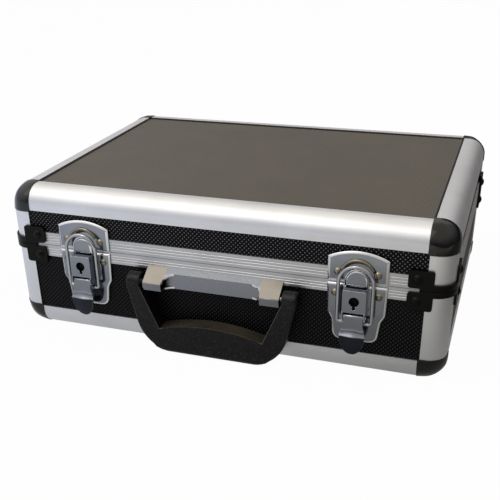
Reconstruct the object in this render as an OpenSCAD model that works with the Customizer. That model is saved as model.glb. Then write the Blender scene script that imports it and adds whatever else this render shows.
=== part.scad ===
// Microphone flight case: dimpled panels in aluminium edge profiles, black ball
// corners, a tongue and groove rim, two key draw latches and a drop handle.
// Millimetres. X runs to the right, Y to the back and Z up. The origin lies on
// the ground under the middle of the case, which is modelled closed.

/* [Case] */
// Width between the outer side faces
case_w = 300; // [270:1:420]
// Depth between the outer front and back faces
case_d = 218; // [200:1:320]
// Height of the base up to the parting line
base_h = 64; // [60:1:120]
// Height of the lid above the parting line
lid_h = 39.5; // [38:0.5:80]
// Clear gap between the two rims
split_gap = 0.3; // [0.2:0.05:0.5]

/* [Panels and edge profiles] */
// Board thickness
panel_t = 5; // [4:0.25:5.5]
// Face width of the rounded edge profile
edge_w = 15.7; // [15.2:0.1:18]
// Outer radius of the edge profile
edge_r = 12.2; // [11:0.1:13]
// Thickness of the lips that lap over the panels
lip_t = 1; // [0.8:0.05:1.2]
// Thickness of the inner webs
web_t = 1.2; // [0.9:0.05:1.4]
// Wall of the rounded outer skin
skin_t = 1.2; // [0.9:0.05:1.6]
// Depth that a panel enters its slot
slot_d = 3.2; // [2.5:0.1:3.6]
// Gap on each side of a panel in its slot
slot_gap = 0.1; // [0.05:0.05:0.2]

/* [Rim] */
// Height of the base rim strip
base_rim_h = 8.1; // [7.5:0.1:10]
// Height of the lid rim strip
lid_rim_h = 9; // [8.5:0.1:11]
// Height of the tongue
tongue_h = 3; // [2:0.1:3.5]
// Width of the tongue at its root
tongue_w = 2.2; // [1.6:0.1:2.4]
// Distance from the outer face to the middle of the tongue
tongue_in = 3.7; // [3.4:0.1:4]
// Side gap between tongue and groove
tongue_gap = 0.6; // [0.4:0.05:0.8]
// Depth of the fine lines along the rim
line_depth = 0.3; // [0.1:0.05:0.5]

/* [Corners] */
// How far the ball corners stand proud of the profiles
ball_proud = 0.6; // [0.4:0.1:1]
// Overlap of the ball corners on the profile ends
ball_lap = 1.2; // [0.6:0.1:2]
// Thickness of the corner braces
brace_t = 1.5; // [1:0.1:2]
// Reach of a brace from the corner
brace_reach = 26.8; // [24:0.1:32]
// Start of the brace flange from the corner
brace_from = 11.4; // [10.5:0.1:12.4]
// Distance of the flange from the parting line
brace_drop = 1.4; // [1:0.1:2.5]
// Height of the brace flange
brace_h = 11.6; // [10.5:0.1:13]
// Height of the band round the post
band_h = 3.9; // [3:0.1:5]
// Radius of the brace rivet heads
brace_rivet_r = 3.1; // [2:0.1:3.6]
// Distance of a brace rivet from the corner
brace_rivet_a = 21.2; // [19.5:0.1:22.5]

/* [Latches] */
// Distance of each latch from the side of the case
latch_in = 56.8; // [52:0.1:68]
// Sheet thickness of keeper and latch plate
plate_t = 1.5; // [1.2:0.1:1.7]
// Half width of the latch plate at the top
plate_half = 18.7; // [18:0.1:21]
// Half width of the latch plate below its shoulder
plate_low_half = 15.4; // [13:0.1:17]
// Length of the latch plate
plate_len = 38.9; // [36:0.1:42]
// Half width of the keeper
keeper_half = 18.6; // [17.4:0.1:20]
// Height of the keeper at its sides
keeper_side = 15.8; // [14.5:0.1:18]
// Rise of the keeper's arched top
keeper_rise = 4.6; // [3.6:0.1:6]
// Half width of the keeper's hood
hood_half = 6.8; // [6.4:0.1:7]
// Height of the hood
hood_h = 10.6; // [10:0.1:11]
// How far the hood stands out of the keeper
hood_out = 3; // [2.6:0.1:3.1]
// Outer radius of the arched rib over the bail
rib_r = 11.3; // [10.8:0.1:11.6]
// Width of the arched rib
rib_w = 2; // [1.4:0.1:2.4]
// How far the rib stands out of the keeper
rib_out = 1.4; // [1.2:0.1:1.8]
// Wire diameter of the bail
wire_d = 2.4; // [2:0.1:2.5]
// Half width of the bail on the wire's axis
bail_half = 10.7; // [10.2:0.05:11]
// Height of the bail's top over the parting line
bail_top = 13.7; // [13:0.1:14.2]
// Gap between the bail and the hood in front of which it hangs
bail_gap = 0.4; // [0.3:0.05:0.6]
// Half width of the lock housing
lock_half = 7.3; // [7.1:0.1:7.5]
// How far the lock housing stands off the rim
lock_out = 9.5; // [9:0.1:9.8]
// Keyhole radius
keyhole_r = 3.2; // [2.4:0.1:3.3]
// Width of the keyhole's slot
keyslot_w = 2; // [1.4:0.1:2.6]
// Travel of the lock bolt
bolt_travel = 4; // [3:0.1:4.5]
// Distance of the lever pin from the rim face
lever_out = 8; // [7.8:0.05:8.1]
// Distance of the lever pin below the parting line
lever_drop = 19.7; // [19.6:0.05:20.2]
// Radius of the lever pin
lever_pin_r = 1; // [0.8:0.05:1.2]
// Half width of the lever at its pin
lever_half = 6; // [5.5:0.1:6]
// Half width of the lever's thumb tab
tab_half = 8; // [7:0.1:9]
// Sheet thickness of the lever
lever_t = 1.2; // [1:0.1:1.3]
// How far the ridge over the tab stands out
ridge_out = 1.8; // [1:0.1:3]
// Distance of the ridge below the parting line
ridge_drop = 31.6; // [30.5:0.1:33]
// Length of the thumb tab below the ridge
tab_len = 13.2; // [11:0.1:14]
// Radius of the latch rivet heads
latch_rivet_r = 2.5; // [2:0.1:2.5]

/* [Handle] */
// Width of the chrome bracket
bracket_w = 93; // [88:0.5:104]
// Height of the bracket
bracket_h = 13.2; // [12.6:0.1:14]
// How far the bracket stands out
bracket_out = 12; // [11:0.1:13]
// Distance of the bracket's top below the parting line
bracket_drop = 5.3; // [4.5:0.1:6]
// Sheet thickness of the bracket
bracket_t = 1.2; // [1:0.1:1.4]
// How far the bracket's middle stands out
bracket_mid = 4.4; // [4:0.1:5.2]
// Width of the end pods of the bracket
pod_w = 12.7; // [11:0.1:15]
// Height of the handle pins below the parting line
pivot_drop = 14.2; // [14.1:0.1:14.6]
// Distance of the handle pins from the rim face
pivot_out = 7.6; // [7.2:0.1:7.7]
// Radius of the handle pins
pivot_r = 1.7; // [1.4:0.05:1.7]
// Gap between the bracket and each arm
arm_gap = 2; // [1.5:0.1:3.5]
// Width of the handle's arms at the pins
arm_w = 9.8; // [8.5:0.1:12]
// Thickness of the handle from front to back
handle_t = 12; // [10:0.1:12.4]
// Lean of the arms' outer edges, in degrees
arm_lean = 14; // [10:0.5:17]
// Lean of the arms' inner edges, in degrees
window_lean = 23.5; // [18:0.5:26]
// Reach of the handle below its pins
handle_len = 48.4; // [45:0.1:49.5]
// Radius of the handle's lower corners
handle_corner = 27; // [20:0.5:28]
// Height of the grip in its middle
grip_h = 22.8; // [19:0.1:24]
// Radius of the grip's arched top
grip_round = 121; // [100:1:200]
// Radial running gap on moving pins
run_gap = 0.07; // [0.03:0.01:0.09]

/* [Hinges] */
// Distance of each hinge from the side of the case
hinge_in = 70; // [60:1:90]
// Length of a hinge
hinge_len = 38; // [32:1:48]
// Radius of the hinge knuckles
knuckle_r = 3; // [2.6:0.1:3.1]
// Radius of the hinge pin
hinge_pin_r = 1.5; // [1.2:0.05:1.6]
// Sheet thickness of the hinge leaves
leaf_t = 1.2; // [1:0.1:1.4]
// Height of a hinge leaf
leaf_h = 16; // [14:0.5:20]
// Distance of the hinge axis behind the rim face
axis_out = 3.2; // [3.15:0.05:3.6]
// Angle at which the hinge stops the lid
lid_stop = 95; // [90:1:100]

/* [Foam] */
// Gap round the foam
foam_gap = 0.3; // [0.2:0.05:0.5]
// Distance of the base foam below the parting line
foam_drop = 8; // [6:0.5:14]
// Thickness of the lid pad
lid_foam_t = 16; // [8:0.5:20]
// Diameter of a microphone's head pocket
head_d = 52; // [44:1:56]
// Width of the pocket behind the head
body_w1 = 40; // [34:1:44]
// Width of the pocket at the tail
body_w2 = 28; // [22:1:34]
// Length of a microphone pocket
mic_len = 178; // [140:1:180]
// Spacing of the pockets
mic_pitch = 66; // [60:1:68]
// Depth of the pockets
pocket_depth = 36; // [28:1:36]
// Width of the finger channel across the pockets
finger_w = 26; // [20:1:34]

// Which piece to draw

/* [Hidden] */
$fn = 48;
eps = 0.01;
far = 60;
// Distance from an outer face to the clear inside of the case
inner = lip_t + panel_t + 2 * slot_gap + web_t;
// Distance from an outer face to a panel's outer face
panel_in = lip_t + slot_gap;
// Edge of a panel, measured from the outer corner
panel_edge = edge_w - slot_d + slot_gap;
split_z = ball_proud + base_h;
top_z = split_z + lid_h;
rim_web = 1.6;
panel_top_gap = rim_web + slot_gap;
groove_depth = tongue_h + 0.4;
groove_roof = split_gap + groove_depth;
lid_web = groove_roof + web_t;
pad_gap = 0.1;
brace_end = brace_drop + brace_h;
brace_corner = 1.8;
rivet_rise = 1.6;
latch_rivet_rise = 1.5;
brace_rivet_v = brace_drop + brace_h / 2;
brace_fit = 0.05;
// Latch places, along the distance from the rim face and from the parting line
latch_x = case_w / 2 - latch_in;
plate_top = -1.2;
plate_bevel = 0.7;
keeper_low = 0.4;
hood_low = -1.3;
hood_clear = 0.4;
pocket_gap = 0.2;
shoulder_u = -19.3;
neck_u = -26;
foot_r = 5;
upper_taper = 0.03;
lower_taper = 0.12;
hood_front = plate_t + hood_out;
hood_wall = 0.8;
bail_out = hood_front + bail_gap + wire_d / 2;
lock_top = -1.7;
lug_r = 2.6;
lock_low = -lever_drop + lug_r + 0.5;
lock_wall = 1;
keyhole_u = -9;
keyslot_low = -14.5;
lever_lead = 2;
lever_front = lever_out + lever_lead;
barrel_r = 1.9;
pull_out = bail_out;
lever_top = -lever_drop + 0.8;
flap_len = 5;
pull_below = 4.7;
pull_u = -lever_drop - pull_below;
bail_arch_u = bail_top - wire_d / 2 - bail_half;
rib_top = 16.2;
rib_u = rib_top - rib_r;
rib_from = 25;
bend_r = 1.8;
bolt_half = 4;
bolt_t = 1;
bolt_out = plate_t + 0.5;
bolt_gap = 0.3;
lock_corner = 0.8;
keyhole_depth = 3;
keeper_rivet = [12.3, 6.7];
plate_rivet = [13.4, -7.5];
// Bracket section: drops below its top of the shoulder, the nose and the front face
shoulder_drop = 3.4;
nose_drop = 7.7;
face_drop = 8.5;
scoop_r = bracket_out - bracket_mid;
// Handle outline, from the middle outwards and from the parting line upwards
arm_in = bracket_w / 2 + arm_gap;
arm_out = arm_in + arm_w;
arm_knee = -16;
handle_low = -pivot_drop - handle_len;
handle_foot_r = 2.6;
corner_u = handle_low + handle_corner;
corner_x = arm_out - (handle_corner + (arm_knee - corner_u) * sin(arm_lean)) / cos(arm_lean);
grip_top = handle_low + grip_h;
hinge_x = case_w / 2 - hinge_in;
channel_in = 6;
channel_rise = 8;
tray_corner = 8;
axis_u = split_gap / 2;
leaf_from = knuckle_r + 0.6;
stop_w = 2;
leaf_rivet = [hinge_len / 2 - 7, leaf_h - 4];
seam = 0.05;

function side_len(k) = k % 2 == 0 ? case_w : case_d;
function smooth(t) = let (s = max(0, min(1, t))) s * s * (3 - 2 * s);

// Stands children on side k, with X along the side, -Y outwards and Y = 0 on its face
module on_side(k) {
    rotate([0, 0, 90 * k]) translate([0, -side_len(k + 1) / 2, 0]) children();
}

// Stands children at corner k, with X and Y running inwards from the outer faces
module at_corner(k) {
    rotate([0, 0, 90 * k])
        translate([-side_len(k) / 2, -side_len(k + 1) / 2, 0]) children();
}

// Base halves stand on the ground, lid halves hang from the top
module half(is_lid) {
    if (is_lid) translate([0, 0, top_z]) mirror([0, 0, 1]) children();
    else translate([0, 0, ball_proud]) children();
}

// Draws a section of (outwards, upwards) and sweeps it along X
module sweep_x(len) {
    rotate([90, 0, -90]) linear_extrude(len, center = true) children();
}

// Front coordinates: X, height from the parting line, and distance out of the rim face
module at_front(out = 0) {
    translate([0, -case_d / 2 - out, split_z]) rotate([90, 0, 0]) children();
}

// The same section axes as sweep_x, at the front and at the parting line
module front_sweep(len, x = 0) {
    translate([x, -case_d / 2, split_z]) sweep_x(len) children();
}

// A rod along X through a point of the front section
module front_rod(r, len, out, u, x = 0) {
    translate([x, -case_d / 2 - out, split_z + u])
        rotate([0, 90, 0]) cylinder(r = r, h = len, center = true);
}

module for_latches() {
    for (s = [-1, 1]) translate([s * latch_x, 0, 0]) children();
}

module rounded_rect(a0, b0, a1, b1, r) {
    translate([a0 + r, b0]) square([a1 - a0 - 2 * r, b1 - b0]);
    translate([a0, b0 + r]) square([a1 - a0, b1 - b0 - 2 * r]);
    for (a = [a0 + r, a1 - r], b = [b0 + r, b1 - r]) translate([a, b]) circle(r);
}

// Domed rivet head that stands on Z = 0
module dome(r, h) {
    big = (r * r + h * h) / (2 * h);
    rotate_extrude() intersection() {
        translate([0, h - big]) circle(big);
        square([r, h]);
    }
}

// Plate of a 2D outline, with a bevelled front edge
module bevel_plate(t, bevel, size, mid) {
    linear_extrude(t - bevel) children();
    translate([mid.x, mid.y, t - bevel]) linear_extrude(bevel, slices = 1,
        scale = [1 - 2 * bevel / size.x, 1 - 2 * bevel / size.y])
            translate(-mid) children();
}

// Outline of the edge profile with its rounded corner at the origin
module edge_outline(grow = 0, reach = edge_w) {
    intersection() {
        translate([edge_r, edge_r]) circle(edge_r + grow);
        translate([-grow, -grow]) square(edge_r + grow);
    }
    translate([edge_r, -grow]) square([reach - edge_r, reach + grow]);
    translate([-grow, edge_r]) square([reach + grow, reach - edge_r]);
}

// Section of the edge profile: two panel slots, an inner angle and a hollow core
module edge_section() {
    slot_h = panel_t + 2 * slot_gap;
    core = edge_w - slot_d - web_t;
    difference() {
        edge_outline();
        translate([inner, inner]) square(far);
        translate([edge_w - slot_d, lip_t]) square([far, slot_h]);
        translate([lip_t, edge_w - slot_d]) square([slot_h, far]);
        difference() {
            intersection() {
                translate([edge_r, edge_r]) circle(edge_r - skin_t);
                square(core);
            }
            translate([inner - web_t, inner - web_t]) square(far);
        }
    }
}

module edge_profile(k) {
    on_side(k) sweep_x(side_len(k) - 2 * edge_w) mirror([1, 0]) edge_section();
}

module corner_posts(h) {
    for (k = [0:3]) at_corner(k)
        translate([0, 0, edge_w]) linear_extrude(h - edge_w - split_gap) edge_section();
}

module wall_panel(k, h, top) {
    len = side_len(k) - 2 * panel_edge;
    on_side(k) translate([-len / 2, panel_in, panel_edge])
        cube([len, panel_t, h - top - panel_edge]);
}

module broad_panel() {
    w = case_w - 2 * panel_edge;
    d = case_d - 2 * panel_edge;
    translate([-w / 2, -d / 2, panel_in]) cube([w, d, panel_t]);
}

// Section of the ball corner's block, from its axis outwards and upwards
module ball_section() {
    r = edge_r + ball_proud;
    intersection() {
        circle(r);
        translate([0, -r]) square(r);
    }
    square([r, edge_w + ball_lap - edge_r]);
}

// Rounded block with the outer corner of the case at the origin
module ball_block() {
    run = edge_w + ball_lap - edge_r;
    r = edge_r + ball_proud;
    translate([edge_r, edge_r, edge_r]) {
        rotate([0, 0, 180]) rotate_extrude(angle = 90) ball_section();
        rotate([90, 0, -90]) mirror([0, 0, 1]) linear_extrude(run) ball_section();
        rotate([90, 0, 180]) linear_extrude(run) ball_section();
        translate([0, 0, -r]) cube([run, run, r + run]);
    }
}

// What the lip of the ball corner laps over: everything inside the profile's outline
module ball_cut_2d() {
    edge_outline(grow = brace_fit, reach = far);
}

module ball_corner() {
    slot_h = panel_t + 2 * slot_gap;
    at = edge_w - slot_d;
    difference() {
        ball_block();
        translate([0, 0, edge_w]) linear_extrude(far) ball_cut_2d();
        translate([edge_w, 0, 0]) rotate([90, 0, 90]) linear_extrude(far) ball_cut_2d();
        translate([0, edge_w, 0]) mirror([0, 1, 0]) rotate([90, 0, 0])
            linear_extrude(far) ball_cut_2d();
        translate([inner, inner, inner]) cube(far);
        translate([at, at, lip_t]) cube([far, far, slot_h]);
        translate([at, lip_t, at]) cube([far, slot_h, far]);
        translate([lip_t, at, at]) cube([slot_h, far, far]);
    }
}

module ball_corners() {
    for (k = [0:3]) at_corner(k) ball_corner();
}

// Rim sections are drawn in (outwards, distance from the parting line)
module rim_lines(h) {
    for (v = [0.3, 0.52, 0.74] * h) translate([0, v]) rotate(45)
        square(line_depth * sqrt(2), center = true);
}

module base_rim_section() {
    difference() {
        union() {
            translate([-lip_t, 0]) square([lip_t, base_rim_h]);
            translate([-inner, 0]) square([inner, rim_web]);
            translate([-inner, 0]) square([web_t, base_rim_h]);
            translate([-tongue_in, 0]) polygon([
                [-tongue_w / 2, eps], [tongue_w / 2, eps],
                [tongue_w / 2, -tongue_h * 0.5], [tongue_w / 4, -tongue_h],
                [-tongue_w / 4, -tongue_h], [-tongue_w / 2, -tongue_h * 0.5]]);
        }
        rim_lines(base_rim_h);
    }
}

module lid_rim_section() {
    half_groove = tongue_w / 2 + tongue_gap;
    difference() {
        union() {
            translate([-lip_t, split_gap]) square([lip_t, lid_rim_h - split_gap]);
            translate([-inner, split_gap]) square([inner, lid_web - split_gap]);
            translate([-inner, split_gap]) square([web_t, lid_rim_h - split_gap]);
        }
        translate([-tongue_in - half_groove, 0]) square([2 * half_groove, groove_roof]);
        rim_lines(lid_rim_h);
    }
}

module rim(k, h) {
    on_side(k) translate([0, 0, h]) sweep_x(side_len(k) - 2 * edge_w)
        mirror([0, 1]) children();
}

// Plan of the band round the corner post
module brace_plan() {
    intersection() {
        translate([edge_r, edge_r]) difference() {
            circle(edge_r + brace_t);
            circle(edge_r + brace_fit);
        }
        translate([-brace_t, -brace_t]) square(edge_r + brace_t);
    }
    translate([edge_r, -brace_t]) square([brace_reach - edge_r, brace_t]);
    translate([-brace_t, edge_r]) square([brace_t, brace_reach - edge_r]);
}

// Flange on the face Y = 0, and the pad that fills the step down to the panel
module brace_flange(h, rim_h) {
    translate([0, 0, h]) rotate([90, 0, 0]) mirror([0, 1]) {
        linear_extrude(brace_t)
            rounded_rect(brace_from, brace_drop, brace_reach, brace_end, brace_corner);
        translate([0, 0, -panel_in]) linear_extrude(panel_in + eps)
            translate([edge_w + pad_gap, rim_h + pad_gap])
                square([brace_reach - edge_w - pad_gap - brace_corner,
                        brace_end - rim_h - pad_gap]);
    }
}

module brace(h, rim_h, band_v) {
    // the band leaves the fine strip between the flanges free beside the post
    translate([0, 0, h - band_v - band_h]) linear_extrude(band_h)
        intersection() {
            brace_plan();
            translate([-far / 2, -far / 2]) square(far / 2 + edge_w + 4);
        }
    brace_flange(h, rim_h);
    mirror([1, -1, 0]) brace_flange(h, rim_h);
}

module braces(h, rim_h, band_v) {
    for (k = [0:3]) at_corner(k) brace(h, rim_h, band_v);
}

module brace_rivets(h) {
    for (k = [0:3]) at_corner(k) for (m = [0, 1]) mirror([m, -m, 0])
        translate([brace_rivet_a, -brace_t, h - brace_rivet_v])
            rotate([90, 0, 0]) dome(brace_rivet_r, rivet_rise);
}

module mic_pocket() {
    head_y = mic_len / 2 - head_d / 2;
    tail_y = -mic_len / 2 + body_w2 / 2;
    translate([0, head_y]) circle(head_d / 2);
    translate([0, tail_y]) circle(body_w2 / 2);
    polygon([[-body_w1 / 2, head_y], [body_w1 / 2, head_y],
             [body_w2 / 2, tail_y], [-body_w2 / 2, tail_y]]);
}

module foam_block(z0, z1) {
    w = case_w - 2 * (inner + foam_gap);
    d = case_d - 2 * (inner + foam_gap);
    translate([-w / 2, -d / 2, z0]) cube([w, d, z1 - z0]);
}

module base_foam() {
    top = base_h - foam_drop;
    color("#1b1b1c") half(false) difference() {
        foam_block(inner + foam_gap, top);
        for (i = [0:2]) translate([(i - 1.5) * mic_pitch, 0, top - pocket_depth])
            linear_extrude(far) mic_pocket();
        translate([1.5 * mic_pitch, 0, top - pocket_depth]) linear_extrude(far)
            rounded_rect(-body_w1 / 2, -mic_len / 2, body_w1 / 2, mic_len / 2, tray_corner);
        translate([-2 * mic_pitch + channel_in, -finger_w / 2, top - pocket_depth + channel_rise])
            cube([3 * mic_pitch - 2 * channel_in, finger_w, far]);
    }
}

module lid_foam() {
    color("#1b1b1c") half(true) foam_block(inner + foam_gap, inner + foam_gap + lid_foam_t);
}

// Half width of the latch plate at height u: a shoulder that runs into a taper
function plate_half_at(u) =
    let (t = smooth((u - neck_u) / (shoulder_u - neck_u)),
         low = plate_low_half + (u - neck_u) * lower_taper,
         high = plate_half + (u - plate_top) * upper_taper)
    low + (high - low) * t;

module latch_plate_outline() {
    foot = plate_top - plate_len;
    side = [for (u = [plate_top : -0.9 : foot + foot_r]) [plate_half_at(u), u]];
    last = side[len(side) - 1];
    arc = [for (a = [0:15:90])
        [last.x - foot_r * (1 - cos(a)), last.y - (last.y - foot) * sin(a)]];
    right = concat(side, arc);
    polygon(concat(right, [for (i = [len(right) - 1 : -1 : 0]) [-right[i].x, right[i].y]]));
}

module latch_plate() {
    mid = [0, plate_top - plate_len / 2];
    color("#8d9096") at_front() {
        bevel_plate(plate_t, plate_bevel, [2 * plate_half, plate_len], mid) latch_plate_outline();
        translate([0, 0, -panel_in]) linear_extrude(panel_in + eps) intersection() {
            latch_plate_outline();
            translate([-far / 2, -base_rim_h - pad_gap - far]) square(far);
        }
    }
}

module keeper_outline() {
    arch = (keeper_half * keeper_half + keeper_rise * keeper_rise) / (2 * keeper_rise);
    side = keeper_low + keeper_side;
    span = asin(keeper_half / arch);
    polygon(concat([[-keeper_half, keeper_low]],
        [for (i = [-8:8]) [arch * sin(span * i / 8),
                           side + keeper_rise - arch + arch * cos(span * i / 8)]],
        [[keeper_half, keeper_low]]));
}

// The D shape of the hood
module hood_outline() {
    crown = hood_low + hood_h - hood_half;
    intersection() {
        translate([0, crown]) circle(hood_half);
        translate([-far / 2, crown]) square(far);
    }
    translate([-hood_half, hood_low]) square([2 * hood_half, crown - hood_low]);
}

// Hood with a pocket for the bolt, clear of the latch plate below the keeper's edge
module hood() {
    pocket_half = hood_half - hood_wall - pocket_gap;
    pocket_h = hood_h - hood_half + 1.6;
    difference() {
        translate([0, 0, plate_t - eps]) linear_extrude(hood_out + eps) hood_outline();
        translate([-pocket_half, hood_low - 1, plate_t])
            cube([2 * pocket_half, pocket_h + 1, hood_out - hood_wall]);
        translate([-far / 2, hood_low - 1, 0])
            cube([far, keeper_low - hood_low + 1, plate_t + hood_clear]);
    }
}

// Arched rib of a rounded section over the place of the bail
module rib() {
    mid_r = rib_r - rib_w / 2;
    translate([0, rib_u, plate_t]) rotate([0, 0, rib_from])
        rotate_extrude(angle = 180 - 2 * rib_from) intersection() {
            translate([mid_r, rib_out - rib_w / 2]) circle(rib_w / 2);
            translate([mid_r - rib_w, -seam]) square([2 * rib_w, far]);
        }
}

module keeper() {
    full = keeper_side + keeper_rise;
    mid = [0, keeper_low + full / 2];
    color("#8d9096") at_front() {
        bevel_plate(plate_t, plate_bevel, [2 * keeper_half, full], mid) keeper_outline();
        translate([0, 0, -panel_in]) linear_extrude(panel_in + eps) intersection() {
            keeper_outline();
            translate([-far / 2, lid_rim_h + pad_gap]) square(far);
        }
        rib();
        hood();
    }
}

// Lug beside the lever, in a section of (outwards, upwards)
module lug_section() {
    difference() {
        union() {
            translate([lever_out, -lever_drop]) circle(lug_r);
            polygon([[plate_t, lock_low + 1], [lock_out, lock_low + 1],
                     [lever_out + 2.4, -lever_drop + 1], [lever_out, -lever_drop - 2.3],
                     [plate_t, -lever_drop - 2.3]]);
        }
        translate([lever_out, -lever_drop]) circle(lever_pin_r + 0.02);
    }
}

module lock_housing() {
    color("#93969c") difference() {
        union() {
            difference() {
                at_front(plate_t) linear_extrude(lock_out - plate_t)
                    rounded_rect(-lock_half, lock_low, lock_half, lock_top, lock_corner);
                at_front(plate_t - eps) linear_extrude(lock_out - plate_t - lock_wall)
                    translate([-lock_half + lock_wall, lock_low - 1])
                        square([2 * (lock_half - lock_wall), lock_top - lock_wall - lock_low + 1]);
            }
            for (s = [-1, 1]) front_sweep(lock_wall, s * (lock_half - lock_wall / 2))
                lug_section();
        }
        at_front(lock_out - keyhole_depth) linear_extrude(far) {
            translate([0, keyhole_u]) circle(keyhole_r);
            translate([-keyslot_w / 2, keyslot_low]) square([keyslot_w, keyhole_u - keyslot_low]);
        }
        at_front(plate_t - eps) linear_extrude(bolt_out + bolt_t - plate_t + bolt_gap)
            translate([-bolt_half - bolt_gap, lock_top - keyhole_depth])
                square([2 * (bolt_half + bolt_gap), far]);
    }
}

// Sliding bolt behind the keyhole, with a window for the key
module lock_bolt() {
    color("#a9abb0") at_front(bolt_out) linear_extrude(bolt_t) difference() {
        translate([-bolt_half, lock_low + 1.2])
            square([2 * bolt_half, lock_top - lock_low - 1.4]);
        translate([-keyslot_w, keyslot_low + 1.5]) square([2 * keyslot_w, 5]);
    }
}

// Front outline of the lever: straight beside the pin, then widening to the tab
module lever_outline() {
    knee = lever_top - flap_len;
    right = concat([[lever_half, lever_top], [lever_half, knee]],
        [for (i = [1:6]) let (t = i / 6)
            [lever_half + (tab_half - lever_half) * smooth(t),
             knee - (ridge_drop + knee) * t]],
        [for (a = [15:15:90]) [tab_half * cos(a), -ridge_drop - tab_len * sin(a)]]);
    polygon(concat(right, [for (i = [len(right) - 1 : -1 : 0]) [-right[i].x, right[i].y]]));
}

// Side section of the lever's sheet: flap, flare up to the ridge, and curled tab
module lever_section() {
    flare = 4.4;
    front = concat([[lever_front, lever_top]],
        [for (i = [0:6]) let (t = i / 6)
            [lever_front + ridge_out * t * t, -ridge_drop + flare * (1 - t)]],
        [for (i = [1:7]) let (t = i / 7)
            [lever_front + ridge_out * (1 - 1.05 * pow(t, 1.7)), -ridge_drop - tab_len * t]]);
    polygon(concat(front,
        [for (i = [len(front) - 1 : -1 : 0]) [front[i].x - lever_t, front[i].y]]));
}

// Cheek that carries the pin and the wire's end
module cheek_section() {
    translate([lever_out, -lever_drop]) circle(barrel_r);
    translate([pull_out, pull_u]) circle(wire_d / 2 + 1);
    polygon([[lever_out - barrel_r, -lever_drop], [lever_front - lever_t / 2, -lever_drop],
             [lever_front - lever_t / 2, pull_u - 2.6], [pull_out, pull_u - wire_d / 2 - 1],
             [pull_out - wire_d / 2 - 1, pull_u]]);
}

module lever() {
    color("#8f9299") difference() {
        union() {
            intersection() {
                front_sweep(4 * tab_half) lever_section();
                at_front() linear_extrude(far) lever_outline();
            }
            front_rod(barrel_r, 2 * lever_half, lever_out, -lever_drop);
            for (s = [-1, 1]) front_sweep(lever_t, s * (lever_half - lever_t / 2))
                cheek_section();
        }
        front_rod(lever_pin_r + run_gap, far, lever_out, -lever_drop);
        front_rod(wire_d / 2 + run_gap, far, pull_out, pull_u);
    }
}

// Wire loop: arch, two arms and two ends turned into the cheeks
module bail() {
    end_x = lever_half - lever_t - 0.4;
    arm = bail_arch_u - pull_u - bend_r;
    color("#c9cbd0") at_front(bail_out) {
        translate([0, bail_arch_u, 0]) rotate_extrude(angle = 180)
            translate([bail_half, 0]) circle(d = wire_d);
        for (s = [0, 1]) mirror([s, 0, 0]) {
            translate([bail_half, pull_u + bend_r, 0]) rotate([-90, 0, 0])
                cylinder(d = wire_d, h = arm);
            translate([bail_half - bend_r, pull_u + bend_r, 0]) rotate([0, 0, -90])
                rotate_extrude(angle = 90) translate([bend_r, 0]) circle(d = wire_d);
            translate([end_x, pull_u, 0]) rotate([0, 90, 0])
                cylinder(d = wire_d, h = bail_half - bend_r - end_x);
        }
    }
}

module lever_pins() {
    color("#b5b7bb") for_latches()
        front_rod(lever_pin_r, 2 * lock_half + 0.6, lever_out, -lever_drop);
}

// Closed section of the bracket: sloping top, nosed front and drawn-in foot
module bracket_section(wall = 0) {
    top = -bracket_drop;
    foot = top - bracket_h;
    polygon([[wall, top - wall * 1.3], [bracket_mid + 1, top - shoulder_drop - wall * 1.2],
             [bracket_out - 0.5 - wall, top - nose_drop - wall],
             [bracket_out - wall, top - face_drop - wall * 0.6],
             [bracket_out - 0.6 - wall, foot + wall], [wall, foot + wall]]);
}

// Plan of the finger scoop cut into the middle of the bracket
module scoop_plan() {
    half_w = bracket_w / 2 - pod_w;
    translate([-half_w + scoop_r, -far]) square([2 * (half_w - scoop_r), far - bracket_mid]);
    translate([-half_w, -far]) square([2 * half_w, far - bracket_mid - scoop_r]);
    for (s = [-1, 1]) translate([s * (half_w - scoop_r), -bracket_mid - scoop_r])
        circle(scoop_r);
}

module handle_bracket() {
    foot = -bracket_drop - bracket_h;
    color("#9da1a8") {
        difference() {
            front_sweep(bracket_w) bracket_section();
            intersection() {
                front_sweep(bracket_w - 2 * bracket_t) bracket_section(bracket_t);
                translate([0, -case_d / 2 - bracket_mid, split_z]) rotate([90, 0, 0])
                    linear_extrude(far) square([bracket_w, far], center = true);
            }
            translate([0, -case_d / 2, split_z - far / 2]) linear_extrude(far) scoop_plan();
            front_rod(pivot_r + 0.02, bracket_w + 2, pivot_out, -pivot_drop);
        }
        at_front(-panel_in) linear_extrude(panel_in + eps)
            translate([-bracket_w / 2, foot])
                square([bracket_w, -base_rim_h - pad_gap - foot]);
    }
}

module handle_pins() {
    reach = arm_out - 2;
    inside = bracket_w / 2 - bracket_t;
    color("#b5b7bb") for (s = [-1, 1])
        front_rod(pivot_r, reach - inside + 1, pivot_out, -pivot_drop,
            s * (reach + inside - 1) / 2);
}

// Opening between the arms: leaning sides over the arched top of the grip
module handle_window() {
    low = handle_low + grip_h / 2;
    low_x = arm_in - (arm_knee - low) * tan(window_lean);
    difference() {
        polygon([[-arm_in, 1], [-arm_in, arm_knee], [-low_x, low],
                 [low_x, low], [arm_in, arm_knee], [arm_in, 1]]);
        translate([0, grip_top - grip_round]) circle(grip_round, $fn = 96);
    }
}

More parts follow.
